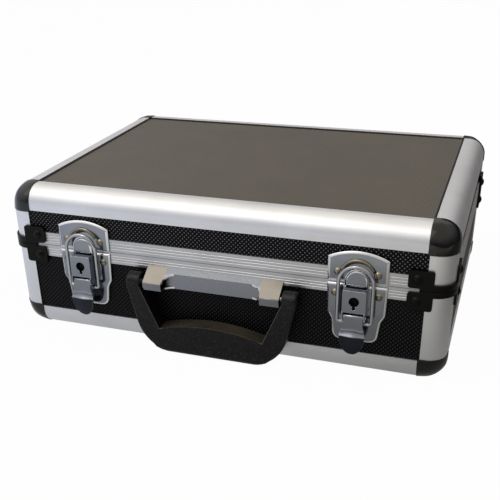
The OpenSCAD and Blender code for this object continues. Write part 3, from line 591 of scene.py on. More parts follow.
@dataclass
class Bench:
    """A piece on the bench, shaped with Blender's own operators.

    Places, steps and widths are in millimetres. A test that chooses points, edges or
    faces gets the middle of each and its normal, or its direction for an edge. A face
    whose area is more than plain_mm times its longest edge is shaded flat.
    """

    thing: bpy.types.Object
    plain_mm: float = 2.2
    split_gap: float = 0.002
    flat_angle: float = 0.3

    @classmethod
    def start(
        cls,
        name: str,
        primitive: Callable,
        place: Sequence[float],
        turn: Sequence[float] = (0, 0, 0),
        stretch: Sequence[float] = (1, 1, 1),
        **settings: object,
    ) -> "Bench":
        """Add a primitive at its place and size.

        Args:
            name: the piece's name.
            primitive: the operator that adds it.
            place: its centre in millimetres.
            turn: its turns about X, Y and Z in degrees.
            stretch: factors for its three axes.
            settings: the operator's own settings, with lengths in metres.

        Returns:
            The bench with the new piece, with its transforms applied.
        """
        clear_bench()
        primitive(location=metres(place), rotation=[math.radians(a) for a in turn], **settings)
        thing = bpy.context.active_object
        thing.name = name
        thing.data.name = name
        thing.scale = stretch
        bpy.ops.object.transform_apply(location=True, rotation=True, scale=True)
        return cls(thing)

    @classmethod
    def from_node(cls, name: str, node: str) -> "Bench":
        """Copy a CAD node's mesh as a new piece, with its split points merged.

        Args:
            name: the piece's name.
            node: the CAD node's name.

        Returns:
            The bench with the copy, with its flat faces whole again.
        """
        clear_bench()
        source = frame["nodes"][node]
        thing = bpy.data.objects.new(name, source.data.copy())
        thing.data.name = name
        thing.matrix_world = source.matrix_world
        bpy.context.scene.collection.objects.link(thing)
        made = cls(thing)
        made.rest()
        bpy.ops.mesh.customdata_custom_splitnormals_clear()
        bpy.ops.object.transform_apply(location=True, rotation=True, scale=True)
        made.all(Part.POINT)
        bpy.ops.mesh.remove_doubles(threshold=made.split_gap * MM)
        bpy.ops.mesh.dissolve_limited(angle_limit=math.radians(made.flat_angle))
        bpy.ops.mesh.mark_sharp(clear=True)
        made.rest()
        return made

    def edit(self) -> None:
        """Open the piece in edit mode."""
        if bpy.context.mode != "EDIT_MESH":
            bpy.context.view_layer.objects.active = self.thing
            bpy.ops.object.mode_set(mode="EDIT")

    def rest(self) -> None:
        """Leave edit mode with only this piece selected and active."""
        clear_bench()
        self.thing.select_set(True)
        bpy.context.view_layer.objects.active = self.thing

    def choose(self, part: Part, test: Test, sharper_than: float | None = None) -> None:
        """Select just the points, edges or faces that pass a test.

        Args:
            part: what is selected.
            test: tells from a middle and a normal, or an edge's direction, what is.
            sharper_than: the angle in degrees over which an edge's faces must meet.
        """
        self.rest()
        self.edit()
        bpy.ops.mesh.select_mode(type=part.value)
        bpy.ops.mesh.select_all(action="DESELECT")
        mesh = bmesh.from_edit_mesh(self.thing.data)
        if part is Part.POINT:
            found = [point for point in mesh.verts if test(point.co / MM, point.normal)]
        elif part is Part.FACE:
            found = [
                face for face in mesh.faces if test(face.calc_center_median() / MM, face.normal)
            ]
        else:
            found = [edge for edge in mesh.edges if test(*middle_and_way(edge))]
            if sharper_than is not None:
                least = math.radians(sharper_than)
                found = [edge for edge in found if edge.calc_face_angle(0) > least]
        for each in found:
            each.select_set(True)
        mesh.select_flush_mode()
        bmesh.update_edit_mesh(self.thing.data)
        if not found:
            raise ValueError(f"nothing is chosen on {self.thing.name}")

    def all(self, part: Part = Part.FACE) -> None:
        """Select the whole piece."""
        self.choose(part, lambda place, normal: True)

    def extrude(self, step: Sequence[float]) -> None:
        """Extrude what is selected by a step."""
        bpy.ops.mesh.extrude_region_move(TRANSFORM_OT_translate={"value": metres(step)})

    def move(self, step: Sequence[float], reach: float = 0) -> None:
        """Move what is selected, and draw along what is near it.

        Args:
            step: how far it moves.
            reach: how far from it a point still moves a little, or 0 for none.
        """
        if reach:
            bpy.ops.transform.translate(
                value=metres(step), use_proportional_edit=True,
                proportional_edit_falloff="SMOOTH", proportional_size=reach * MM,
            )
        else:
            bpy.ops.transform.translate(value=metres(step))

    def resize(self, factors: Sequence[float], centre: Sequence[float]) -> None:
        """Resize what is selected about a centre."""
        bpy.ops.transform.resize(value=factors, center_override=metres(centre))

    def inset(self, width: float, depth: float = 0) -> None:
        """Inset the selected faces as one region, and raise or sink them."""
        bpy.ops.mesh.inset(thickness=width * MM, depth=depth * MM, use_boundary=True)

    def bevel(self, width: float, segments: int) -> None:
        """Round the selected edges."""
        bpy.ops.mesh.bevel(offset=width * MM, segments=segments, affect="EDGES")

    def cut(self, place: Sequence[float], normal: Sequence[float], fill: bool = False) -> None:
        """Cut the piece at a plane and drop what lies on the normal's side.

        Args:
            place: a place on the plane.
            normal: the plane's normal.
            fill: whether a face closes the cut.
        """
        self.all(Part.POINT)
        bpy.ops.mesh.bisect(
            plane_co=metres(place), plane_no=normal, use_fill=fill, clear_outer=True
        )

    def slice(self, place: Sequence[float], normal: Sequence[float]) -> None:
        """Cut the piece at a plane and keep both sides."""
        self.all(Part.POINT)
        bpy.ops.mesh.bisect(plane_co=metres(place), plane_no=normal)

    def merge(self, gap: float = 0.005) -> None:
        """Merge points that meet and turn every normal outwards."""
        self.all(Part.POINT)
        bpy.ops.mesh.remove_doubles(threshold=gap * MM)
        bpy.ops.mesh.normals_make_consistent(inside=False)

    def modify(self, kind: str, **settings: object) -> None:
        """Add a modifier and apply it.

        Args:
            kind: the modifier's type name.
            settings: its settings.
        """
        self.rest()
        added = self.thing.modifiers.new(kind.lower(), kind)
        for name, value in settings.items():
            setattr(added, name, value)
        bpy.ops.object.modifier_apply(modifier=added.name)

    def ease(self, width: float, segments: int = 2, angle: float = 35) -> None:
        """Ease every edge that is sharper than an angle.

        Args:
            width: the width of the eased edge.
            segments: how many faces round it has.
            angle: the angle in degrees.
        """
        self.modify(
            "BEVEL", width=width * MM, segments=segments, limit_method="ANGLE",
            angle_limit=math.radians(angle), harden_normals=False, miter_outer="MITER_ARC",
        )

    def cut_away(self, other: "Bench") -> None:
        """Cut another piece's form out of this one."""
        self.modify("BOOLEAN", object=other.thing, operation="DIFFERENCE", solver="EXACT")
        bpy.data.objects.remove(other.thing)

    def join(self, *others: "Bench") -> None:
        """Join other pieces to this one."""
        self.rest()
        for other in others:
            other.thing.select_set(True)
        bpy.ops.object.join()

    def copy(self, name: str, step: Sequence[float]) -> "Bench":
        """Copy the piece with a mesh of its own.

        Args:
            name: the copy's name.
            step: how far it is moved.

        Returns:
            The bench with the copy.
        """
        self.rest()
        bpy.ops.object.duplicate(linked=False)
        made = Bench(bpy.context.active_object)
        made.thing.name = name
        made.thing.data.name = name
        made.thing.location = metres(step)
        bpy.ops.object.transform_apply(location=True, rotation=True, scale=True)
        return made

    def paint(self, finish: Finish, test: Test | None = None) -> None:
        """Dress the whole piece in a finish, or just some of its faces.

        Args:
            finish: the finish.
            test: picks the faces, or is left out for all.
        """
        self.rest()
        if test is None:
            self.thing.data.materials.clear()
        self.thing.data.materials.append(finish.material())
        self.choose(Part.FACE, test or (lambda place, normal: True))
        self.thing.active_material_index = len(self.thing.data.materials) - 1
        bpy.ops.object.material_slot_assign()
        self.rest()

    def shade(self, angle: float) -> None:
        """Shade the piece smooth, and flat where a face is broad.

        Args:
            angle: the angle in degrees under which edges are smooth.
        """
        self.rest()
        bpy.ops.object.shade_smooth_by_angle(angle=math.radians(angle))
        self.edit()
        bpy.ops.mesh.select_mode(type="FACE")
        bpy.ops.mesh.select_all(action="DESELECT")
        mesh = bmesh.from_edit_mesh(self.thing.data)
        for face in mesh.faces:
            longest = max(edge.calc_length() for edge in face.edges)
            face.select_set(face.calc_area() > self.plain_mm * MM * longest)
        bmesh.update_edit_mesh(self.thing.data)
        bpy.ops.mesh.faces_shade_flat()
        self.rest()

    def finish(
        self, finish: Finish, body: str, slot: str, nodes: Iterable[str] = (), angle: float = 35
    ) -> bpy.types.Object:
        """Shade the piece, dress it, hang it on its body and hide the CAD nodes that it replaces.

        Args:
            finish: its surface finish, where it isn't painted yet.
            body: the CAD body that carries it.
            slot: the record's material slot; not used.
            nodes: the CAD nodes that it replaces.
            angle: the angle in degrees under which its shading is smooth.

        Returns:
            The finished object.
        """
        self.shade(angle)
        if not self.thing.data.materials:
            self.thing.data.materials.append(finish.material())
        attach(self.thing, body)
        if nodes:
            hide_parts(*nodes)
        LOG.info("modelled %s with %d faces", self.thing.name, len(self.thing.data.polygons))
        return self.thing


@dataclass(frozen=True)
class Front:
    """Places on the front of the case: across, up from the parting line, and out.

    The base's corner posts end post_drop under the parting line.
    """

    face: float
    split: float

    @classmethod
    def of_frame(cls, post_drop: float = 0.3) -> "Front":
        """Read the rim's face and the parting line from the CAD."""
        return cls(box_mm("base_front_rim")[0].y, box_mm("base_corner_posts")[1].z + post_drop)

    def at(self, x: float, u: float, out: float) -> Point:
        """Return the place in the frame."""
        return (x, self.face - out, self.split + u)

    def up(self, place: Vector) -> float:
        """Return a place's height over the parting line."""
        return place.z - self.split

    def out(self, place: Vector) -> float:
        """Return a place's distance out of the rim's face."""
        return self.face - place.y


FRONT = Front.of_frame()
# A normal or a direction with more than this along an axis counts as along it.
SQUARE_ON = 0.9
# The normals of a rolled edge have a part along Y between these.
ROLLED_EDGE = (-0.93, -0.02)


def faces_front(place: Vector, normal: Vector) -> bool:
    """Tell whether a face looks forwards."""
    return normal.y < -SQUARE_ON


def on_rolled_edge(place: Vector, normal: Vector) -> bool:
    """Tell whether a face turns away from the front, as a rolled edge does."""
    return ROLLED_EDGE[0] < normal.y < ROLLED_EDGE[1]


def paint_pressing(made: Bench) -> None:
    """Paint a pressed piece dull nickel, with a painted highlight on its rolled edges."""
    made.paint(NICKEL)
    made.paint(NICKEL_EDGE_HIGHLIGHT, on_rolled_edge)


def soft_share(value: float, start: float, end: float) -> float:
    """Return how far a value has come from start to end, slow at both."""
    share = min(1.0, max(0.0, (value - start) / (end - start)))
    return share * share * (3 - 2 * share)


def draw_row(
    made: Bench, x: float, level: float, lower: float, ratio: float, back: float = 0
) -> None:
    """Draw a sheet's lowest edge on to its next row, and give that its width.

    Args:
        made: the sheet.
        x: the place of its middle.
        level: the height of its lowest edge over the parting line.
        lower: the next row's height.
        ratio: the next row's width over this one's.
        back: how far the sheet leans back between them.
    """
    made.choose(
        Part.EDGE, lambda p, n: abs(FRONT.up(p) - level) < NEAR and abs(n.x) > SQUARE_ON
    )
    made.extrude((0, back, lower - level))
    made.resize((ratio, 1, 1), FRONT.at(x, lower, 0))


@dataclass
class CadFinishes:
    """Gives every CAD node that stays in view the finish of the real piece."""

    nodes: dict[str, bpy.types.Object] = field(default_factory=dict)

    def finish_of(self, name: str) -> Finish:
        """Choose the finish for a node by the piece it is.

        Args:
            name: the node's name.

        Returns:
            The finish.
        """
        side = "left" in name or "right" in name
        if name == "lid_front_panel":
            return LAMINATE_LID_FRONT
        if name.endswith("panel"):
            if "floor" in name or "top" in name:
                return LAMINATE[Plane.TOP]
            return LAMINATE[Plane.SIDE if side else Plane.FRONT]
        if name.endswith("edge"):
            return PROFILE[Along.Y if side else Along.X]
        if name.endswith("rim"):
            return RIM_STRIP[Along.Y if side else Along.X]
        named = {
            "foam": PACKING_FOAM, "corner_posts": PROFILE[Along.Z], "brace": BLACK_NYLON,
            "ball": BLACK_ABS, "handle_grip": HANDLE_PP, "handle_bracket": CHROME,
            "rivets": WARM_TINT_NICKEL, "pins": STEEL, "bolt": STEEL,
        }
        return next((finish for word, finish in named.items() if word in name), NICKEL)

    def dress(self) -> None:
        """Set the finish on every node."""
        for name, node in self.nodes.items():
            node.data.materials.clear()
            node.data.materials.append(self.finish_of(name).material())
            LOG.info("finished CAD node %s", name)


@dataclass
class Pressing:
    """A piece pressed out of sheet, with its edge rolled back to the case."""

    x: float
    back: float = -1.1
    sheet: float = 1.5
    bevel: float = 1.4
    bevel_depth: float = 0.75
    bend: float = 0.22
    bend_angle: float = 20

    def press(self, made: Bench) -> None:
        """Give a flat outline its thickness and its rolled edge.

        Args:
            made: the outline, in the plane of the piece's back.
        """
        made.all()
        made.extrude((0, self.back - self.sheet + self.bevel_depth, 0))
        made.merge()
        made.choose(Part.FACE, faces_front)
        made.inset(self.bevel, self.bevel_depth)
        made.ease(self.bend, 2, self.bend_angle)


@dataclass
class Keeper(Pressing):
    """The lid's half of a latch: arched plate, hood over the bolt and rib over the wire."""

    bevel: float = 1.45
    half: float = 18.6
    low: float = 0.4
    top: float = 20.8
    rise: float = 4.6
    strips: int = 24
    hood_half: float = 7.4
    hood_low: float = -1.3
    hood_crown: float = 2.5
    hood_out: float = 4.5
    hood_round: float = 1.1
    hood_steps: tuple[tuple[float, float], ...] = ((1.0, 0.75), (0.6, 0.25))
    hood_edge: float = 0.3
    hood_sunk: float = 0.1
    pocket: Point = (11.6, 2.2, 6.4)
    pocket_u: float = 0.9
    pocket_out: float = 2.6
    clear: Point = (30, 3, 3)
    clear_u: float = -1.1
    clear_out: float = 0.4
    rib_radius: float = 10.3
    rib_wire: float = 1.0
    rib_u: float = 4.9
    rib_out: float = 1.9
    rib_end: float = 25
    rib_end_round: float = 0.5
    rib_foot: float = 1.55

    def plate(self) -> Bench:
        """Press the arched plate from a disc, with its rolled edge, which takes a painted
        highlight.

        The strips that it is sliced in end clear of the rolled edge's corners.

        Returns:
            The plate's bench.
        """
        arch = (self.half**2 + self.rise**2) / (2 * self.rise)
        made = Bench.start(
            "right_keeper_pressing", bpy.ops.mesh.primitive_circle_add,
            FRONT.at(self.x, self.top - arch, self.back), (90, 0, 0),
            vertices=240, radius=arch * MM, fill_type="NGON",
        )
        for side in (1, -1):
            made.cut(FRONT.at(self.x + side * self.half, 0, 0), (side, 0, 0))
        made.cut(FRONT.at(self.x, self.low, 0), (0, 0, -1))
        reach = self.half - 2 * self.bevel
        for i in range(self.strips + 1):
            across = self.x + reach * (2 * i / self.strips - 1)
            made.slice(FRONT.at(across, 0, 0), (1, 0, 0))
        self.press(made)
        return made

    def hood(self) -> Bench:
        """Raise the D shaped hood and hollow it for the bolt.

        Its rim rounds over in steps, each a share of the rounding wide and high.

        Returns:
            The hood's bench.
        """
        foot = self.sheet - self.hood_sunk
        made = Bench.start(
            "hood", bpy.ops.mesh.primitive_circle_add,
            FRONT.at(self.x, self.hood_crown, foot), (90, 0, 0),
            vertices=72, radius=self.hood_half * MM, fill_type="NGON",
        )
        made.cut(FRONT.at(self.x, self.hood_crown, 0), (0, 0, -1))
        draw_row(made, self.x, self.hood_crown, self.hood_low, 1)
        made.all()
        bpy.ops.mesh.dissolve_faces()
        made.all()
        made.extrude((0, foot - self.hood_out + self.hood_round, 0))
        made.merge()
        made.choose(Part.FACE, faces_front)
        for width, height in self.hood_steps:
            made.inset(self.hood_round * width, self.hood_round * height)
        hollows = {
            "pocket": (self.pocket, self.pocket_u, self.pocket_out),
            "clear": (self.clear, self.clear_u, self.clear_out),
        }
        for name, (size, up, out) in hollows.items():
            made.cut_away(Bench.start(
                name, bpy.ops.mesh.primitive_cube_add, FRONT.at(self.x, up, out),
                stretch=size, size=MM,
            ))
        made.ease(self.hood_edge, 3, 22)
        return made

    def rib(self) -> Bench:
        """Bend the half round rib that the wire lies behind.

        Returns:
            The rib's bench.
        """
        centre = FRONT.at(self.x, self.rib_u, self.rib_out)
        made = Bench.start(
            "rib", bpy.ops.mesh.primitive_torus_add, centre, (90, 0, 0),
            major_radius=self.rib_radius * MM, minor_radius=self.rib_wire * MM,
            major_segments=96, minor_segments=16,
        )
        made.cut(centre, (0, 0, -1), fill=True)
        lean = math.radians(self.rib_end)
        for side in (1, -1):
            made.cut(centre, (side * math.sin(lean), 0, -math.cos(lean)), fill=True)
        made.ease(self.rib_end_round, 3, 50)
        return made

    def on_rib(self, place: Vector, normal: Vector) -> bool:
        """Tell whether a face belongs to the rib."""
        reach = math.hypot(place.x - self.x, FRONT.up(place) - self.rib_u)
        across = abs(reach - self.rib_radius)
        return across < self.rib_wire * 1.1 and FRONT.out(place) > self.rib_foot

    def build(self) -> Bench:
        """Join the keeper's pressed forms into one sheet.

        Returns:
            The keeper's bench.
        """
        made = self.plate()
        made.join(self.hood(), self.rib())
        paint_pressing(made)
        made.paint(WARM_TINT_NICKEL, self.on_rib)
        return made


@dataclass
class LatchPlate(Pressing):
    """The base's half of a latch: a shield that draws in below its shoulder."""

    top: float = -1.2
    length: float = 38.9
    upper: float = 18.7
    upper_taper: float = 0.03
    lower: float = 15.4
    lower_taper: float = 0.12
    shoulder: float = -19.3
    neck: float = -26.0
    foot_round: float = 5.0
    step: float = 1.0
    first: float = 3.0

    def half_at(self, u: float) -> float:
        """Work out the shield's half width: shoulder, taper and rounded foot.

        Args:
            u: the height over the parting line.

        Returns:
            The half width there.
        """
        share = soft_share(u, self.neck, self.shoulder)
        low = self.lower + (u - self.neck) * self.lower_taper
        high = self.upper + (u - self.top) * self.upper_taper
        drawn_in = max(0.0, self.top - self.length + self.foot_round - u)
        round_off = self.foot_round - math.sqrt(max(0.0, self.foot_round**2 - drawn_in**2))
        return low + (high - low) * share - round_off

    def build(self) -> Bench:
        """Draw the shield down row by row, then press it and paint a highlight on its rolled edge.

        Its first row is wider than the rolled edge, so that the edge stays even, and
        its rows are half as high in the rounded foot.

        Returns:
            The shield's bench.
        """
        foot = self.top - self.length
        made = Bench.start(
            "right_latch_shield", bpy.ops.mesh.primitive_plane_add,
            FRONT.at(self.x, self.top - self.first / 2, self.back), (90, 0, 0),
            (2 * self.half_at(self.top), self.first, 1), size=MM,
        )
        level = self.top - self.first
        while level > foot + NEAR:
            step = self.step if level > foot + self.foot_round + self.step else self.step / 2
            lower = max(foot, level - step)
            draw_row(made, self.x, level, lower, self.half_at(lower) / self.half_at(level))
            level = lower
        self.press(made)
        paint_pressing(made)
        return made


@dataclass
class LockCore:
    """The barrel behind the keyhole, painted black as painted shade."""

    x: float
    u: float = -9.0
    radius: float = 5.6
    hole: float = 3.3
    front: float = 8.3
    depth: float = 1.8
    socket: float = 1.44
    post_ring: float = 1.815
    post: float = 0.9
    edge: float = 0.15

    def build(self) -> Bench:
        """Sink a socket in a short drum and leave the key's post in it.

        Returns:
            The barrel's bench.
        """
        made = Bench.start(
            "right_lock_core", bpy.ops.mesh.primitive_cylinder_add,
            FRONT.at(self.x, self.u, self.front - self.depth / 2), (90, 0, 0),
            vertices=48, radius=self.radius * MM, depth=self.depth * MM,
        )
        made.choose(Part.FACE, faces_front)
        made.inset(self.radius - self.hole)
        made.extrude((0, self.socket, 0))
        made.inset(self.post_ring)
        made.extrude((0, -self.post, 0))
        made.ease(self.edge)
        return made


@dataclass
class Lever:
    """The latch's lever: a sheet that flares over its pin and ends in a thumb tab."""

    x: float
    half: float = 6.0
    tab_half: float = 8.0
    top: float = -18.9
    first: float = 0.5
    knee: float = -23.9
    flare: float = -27.2
    ridge: float = -31.6
    tab: float = 13.2
    face: float = 10.0
    ridge_out: float = 1.8
    tab_fall: float = 1.05
    tab_curl: float = 1.7
    sheet: float = 1.2
    edge: float = 0.3
    crown: float = 0.7
    crown_at: float = 0.4
    crown_half: tuple[float, float] = (1.0, 0.3)
    crown_reach: float = 0.9
    flap_rows: int = 3
    flare_rows: int = 6
    tab_rows: int = 14
    barrel: float = 1.9
    pin: tuple[float, float] = (8.0, -19.7)
    wire: tuple[float, float] = (6.1, -24.4)
    cheek_over: float = 1.8
    cheek_past: float = 2.2
    cheek_under: float = 0.6
    cheek_round: float = 2.0
    cheek_edge: float = 0.2
    polish_gap: float = 0.4
    side_lean: float = 0.3

    def half_at(self, u: float) -> float:
        """Work out the lever's half width: straight, flared, then a half ellipse.

        Args:
            u: the height over the parting line.

        Returns:
            The half width there.
        """
        if u >= self.ridge:
            flared = soft_share(u, self.knee, self.ridge)
            return self.half + (self.tab_half - self.half) * flared
        fall = min(1.0, (self.ridge - u) / self.tab)
        return self.tab_half * math.sqrt(max(0.0, 1 - fall * fall))

    def out_at(self, u: float) -> float:
        """Work out how far the sheet's face stands out.

        Args:
            u: the height over the parting line.

        Returns:
            The distance from the rim's face there.
        """
        if u >= self.flare:
            return self.face
        if u >= self.ridge:
            share = (self.flare - u) / (self.flare - self.ridge)
            return self.face + self.ridge_out * share * share
        share = (self.ridge - u) / self.tab
        return self.face + self.ridge_out * (1 - self.tab_fall * share**self.tab_curl)

    def levels(self) -> list[float]:
        """List the heights of the sheet's rows, close together where it curves.

        Returns:
            The heights over the parting line, from the top down.
        """
        flap, flare = self.knee - self.flare, self.flare - self.ridge
        turns = [math.pi / 2 * i / self.tab_rows for i in range(1, self.tab_rows)]
        return (
            [self.knee - flap * i / self.flap_rows for i in range(self.flap_rows + 1)]
            + [self.flare - flare * i / self.flare_rows for i in range(1, self.flare_rows + 1)]
            + [self.ridge - self.tab * math.sin(turn) for turn in turns]
        )

    def sheet_form(self) -> Bench:
        """Draw the sheet down row by row, crown its tab and give it its thickness.

        The crown's place, its half height and its reach are shares of the tab's size.

        Returns:
            The sheet's bench.
        """
        level = self.top - self.first
        made = Bench.start(
            "right_lever_sheet", bpy.ops.mesh.primitive_grid_add,
            FRONT.at(self.x, self.top - self.first / 2, self.face), (90, 0, 0),
            (2 * self.half, self.first, 1), x_subdivisions=12, y_subdivisions=1, size=MM,
        )
        for lower in self.levels():
            ratio = self.half_at(lower) / self.half_at(level)
            draw_row(made, self.x, level, lower, ratio, self.out_at(level) - self.out_at(lower))
            level = lower
        middle = self.ridge - self.tab * self.crown_at
        half_wide, half_high = self.crown_half[0], self.tab * self.crown_half[1]
        made.choose(
            Part.POINT,
            lambda p, n: abs(p.x - self.x) < half_wide and abs(FRONT.up(p) - middle) < half_high,
        )
        made.move((0, -self.crown, 0), reach=self.tab_half * self.crown_reach)
        made.merge()
        made.modify("SOLIDIFY", thickness=self.sheet * MM, offset=-1.0)
        made.ease(self.edge, 3, 30)
        return made

    def cheek(self, side: int) -> Bench:
        """Cut one cheek, which goes round the wire's end and the pin.

        Args:
            side: 1 for the right cheek and -1 for the left one.

        Returns:
            The cheek's bench.
        """
        top, bottom = self.pin[1] + self.cheek_over, self.wire[1] - self.cheek_past
        back, front = self.wire[0] - self.cheek_past, self.face - self.cheek_under
        across = self.x + side * (self.half - self.sheet / 2)
        made = Bench.start(
            "cheek", bpy.ops.mesh.primitive_cube_add,
            FRONT.at(across, (top + bottom) / 2, (back + front) / 2),
            stretch=(self.sheet, front - back, top - bottom), size=MM,
        )
        made.choose(
            Part.EDGE, lambda p, n: abs(n.x) > SQUARE_ON and FRONT.out(p) < back + NEAR
        )
        made.bevel(self.cheek_round, 8)
        made.ease(self.cheek_edge)
        return made

    def on_side(self, place: Vector, normal: Vector) -> bool:
        """Tell whether a face lies on the sheet's edge along its sides."""
        return -SQUARE_ON < normal.y < ROLLED_EDGE[1] and abs(normal.x) > self.side_lean

    def on_tab(self, place: Vector, normal: Vector) -> bool:
        """Tell whether a face lies on the polished tab."""
        return faces_front(place, normal) and FRONT.up(place) < self.ridge - self.polish_gap

    def build(self) -> Bench:
        """Join the sheet, the barrel that it is rolled into and the cheeks.

        Returns:
            The lever's bench.
        """
        made = self.sheet_form()
        barrel = Bench.start(
            "barrel", bpy.ops.mesh.primitive_cylinder_add,
            FRONT.at(self.x, self.pin[1], self.pin[0]), (0, 90, 0),
            vertices=32, radius=self.barrel * MM, depth=2 * self.half * MM,
        )
        barrel.ease(self.edge)
        made.join(barrel, self.cheek(1), self.cheek(-1))
        made.paint(NICKEL)
        # The sheet's sides are painted a bright nickel, as a painted highlight.
        made.paint(NICKEL_EDGE_HIGHLIGHT, self.on_side)
        # The tab is painted a dark tone, as a painted reflection of the dark side of the room.
        made.paint(TAB_PAINTED_REFLECTION, self.on_tab)
        return made


@dataclass
class Bail:
    """The wire loop that the lever draws down."""

    x: float
    out: float = 6.1
    radius: float = 10.7
    arch: float = 1.8
    foot: float = -24.4
    bend: float = 1.8
    bend_steps: int = 6
    end: float = 4.4
    end_round: float = 0.25
    wire: float = 1.2
    smooth_gap: float = 0.001

    def build(self) -> Bench:
        """Bend the wire: an arch, two arms and two ends turned in under the lever.

        Returns:
            The bail's bench.
        """
        made = Bench.start(
            "right_wire_bail", bpy.ops.mesh.primitive_circle_add,
            FRONT.at(self.x, self.arch, self.out), (90, 0, 0),
            vertices=64, radius=self.radius * MM, fill_type="NOTHING",
        )
        made.cut(FRONT.at(self.x, self.arch, 0), (0, 0, -1))
        made.choose(Part.POINT, lambda p, n: abs(FRONT.up(p) - self.arch) < NEAR)
        low = self.foot + self.bend
        made.extrude((0, 0, low - self.arch))
        for side in (1, -1):
            made.choose(
                Part.POINT, lambda p, n: abs(FRONT.up(p) - low) < NEAR and side * (p.x - self.x) > 0
            )
            for i in range(self.bend_steps):
                a, b = (math.pi / 2 * k / self.bend_steps for k in (i, i + 1))
                made.extrude((
                    side * self.bend * (math.cos(b) - math.cos(a)), 0,
                    self.bend * (math.sin(a) - math.sin(b)),
                ))
            made.extrude((side * (self.end + self.bend - self.radius), 0, 0))
        made.merge()
        made.rest()
        bpy.ops.object.convert(target="CURVE")
        made.thing = bpy.context.active_object
        made.thing.data.bevel_depth = self.wire * MM
        made.thing.data.bevel_resolution = 5
        made.thing.data.use_fill_caps = True
        bpy.ops.object.convert(target="MESH")
        made.thing = bpy.context.active_object
        made.merge(self.smooth_gap)
        made.ease(self.end_round, 2, 60)
        return made


@dataclass
class Latches:
    """Both latches: the right one is modelled, and the left one is its copy."""

    housing_edge: float = 0.35

    def both(
        self, made: Bench, finish: Finish, body: str, slot: str, node: str | None = None
    ) -> None:
        """Finish a right piece and its copy for the left latch.

        Args:
            made: the right latch's piece.
            finish: its finish.
            body: the body's name, with {side} for right or left.
            slot: its material slot.
            node: the CAD node's name that it replaces, with {side} too.
        """
        step = box_mm("left_keeper")[0].x - box_mm("right_keeper")[0].x
        left = made.copy(made.thing.name.replace("right", "left"), (step, 0, 0))
        for side, piece in (("right", made), ("left", left)):
            nodes = [node.format(side=side)] if node else []
            piece.finish(finish, body.format(side=side), slot, nodes)

    def build(self) -> None:
        """Model every piece of a latch and finish it twice."""
        low, high = box_mm("right_keeper")
        x = (low.x + high.x) / 2
        self.both(Keeper(x).build(), NICKEL, "lid", "latch_steel", "{side}_keeper")
        self.both(LatchPlate(x).build(), NICKEL, "base", "latch_steel", "{side}_latch_plate")
        self.both(LockCore(x).build(), LOCK_CORE_SHADE, "base", "black_fitting")
        self.both(Lever(x).build(), NICKEL, "{side}_lever", "latch_steel", "{side}_lever")
        self.both(Bail(x).build(), WIRE, "{side}_bail", "wire_steel", "{side}_bail")
        housing = Bench.from_node("right_lock_case", "right_lock_housing")
        housing.ease(self.housing_edge, 3)
        paint_pressing(housing)
        self.both(housing, NICKEL, "base", "latch_steel", "{side}_lock_housing")


@dataclass
class Handle:
    """The drop handle and the chrome bracket that it hangs in."""

    outer_round: float = 1.7
    inner_round: float = 0.5
    sharp: float = 40
    opening_half: float = 48.7
    arm_knee: float = -16
    arm_lean: float = 0.435
    opening_gap: float = 1.5
    foot: float = -58.5
    hold_half: float = 36
    hold_top: float = -38
    arm_top: float = -17
    pod_inside: float = 33.0
    pod_bend: float = 6.0
    bracket_edge: float = 0.45

    def outside(self, place: Vector, way: Vector) -> bool:
        """Tell the handle's outline from the opening between its arms.

        The outline ends over the foot's own rounding, which is finer than this one.

        Args:
            place: the place on the handle.
            way: the edge's direction there, which isn't needed.

        Returns:
            Whether it belongs to the outline.
        """
        up = FRONT.up(place)
        inner = self.opening_half + min(0.0, up - self.arm_knee) * self.arm_lean
        return abs(place.x) > inner + self.opening_gap and up > self.foot

    def smooth(self, place: Vector, normal: Vector) -> bool:
        """Tell whether a face is on top of the grip, or inside an arm, where it is smooth and gets
        a painted sheen.

        Args:
            place: the face's middle.
            normal: its normal.

        Returns:
            Whether it is smooth.
        """
        up = FRONT.up(place)
        on_hold = normal.z > 0.75 and abs(place.x) < self.hold_half and up < self.hold_top
        faces_in = normal.x * place.x < -0.01
        return on_hold or (-0.95 < normal.y < -0.2 and faces_in and up < self.arm_top)

    def on_bend(self, place: Vector, normal: Vector) -> bool:
        """Tell whether a face is on a bend at a side of one of the bracket's pods."""
        past = abs(place.x) > self.pod_inside - self.pod_bend
        return past and 0.12 < abs(normal.x) < 0.97

    def grip(self) -> None:
        """Soften the handle's outside, keep its opening crisp, and give its upper face a smooth
        finish with a painted sheen.
        """
        made = Bench.from_node("moulded_handle", "handle_grip")
        made.choose(Part.EDGE, self.outside, self.sharp)
        made.bevel(self.outer_round, 5)
        made.choose(Part.EDGE, lambda p, n: not self.outside(p, n), self.sharp)
        made.bevel(self.inner_round, 2)
        made.paint(HANDLE_PP)
        made.paint(HANDLE_SMOOTH_SHEEN, self.smooth)
        made.finish(HANDLE_PP, "handle", "handle_plastic", ["handle_grip"])

    def bracket(self) -> None:
        """Round the bracket's pressed edges, finish its pods and its recess, and paint highlights
        on the pods' bends.
        """
        made = Bench.from_node("pressed_bracket", "handle_bracket")
        for side in (-1, 1):
            made.slice((side * self.pod_inside, 0, 0), (1, 0, 0))
        made.ease(self.bracket_edge, 3, 30)
        made.paint(CHROME)
        # Faces that look forwards are painted a cooler nickel grey than the chrome, a painted
        # reflection on the same sheet.
        made.paint(NICKEL, lambda p, n: n.y < -0.8 and n.z < 0.1)
        made.paint(BRACKET_RECESS, lambda p, n: abs(p.x) < self.pod_inside)
        made.paint(CHROME_EDGE_HIGHLIGHT, self.on_bend)
        made.finish(CHROME, "base", "bracket_chrome", ["handle_bracket"])

    def build(self) -> None:
        """Model the handle and its bracket."""
        self.grip()
        self.bracket()


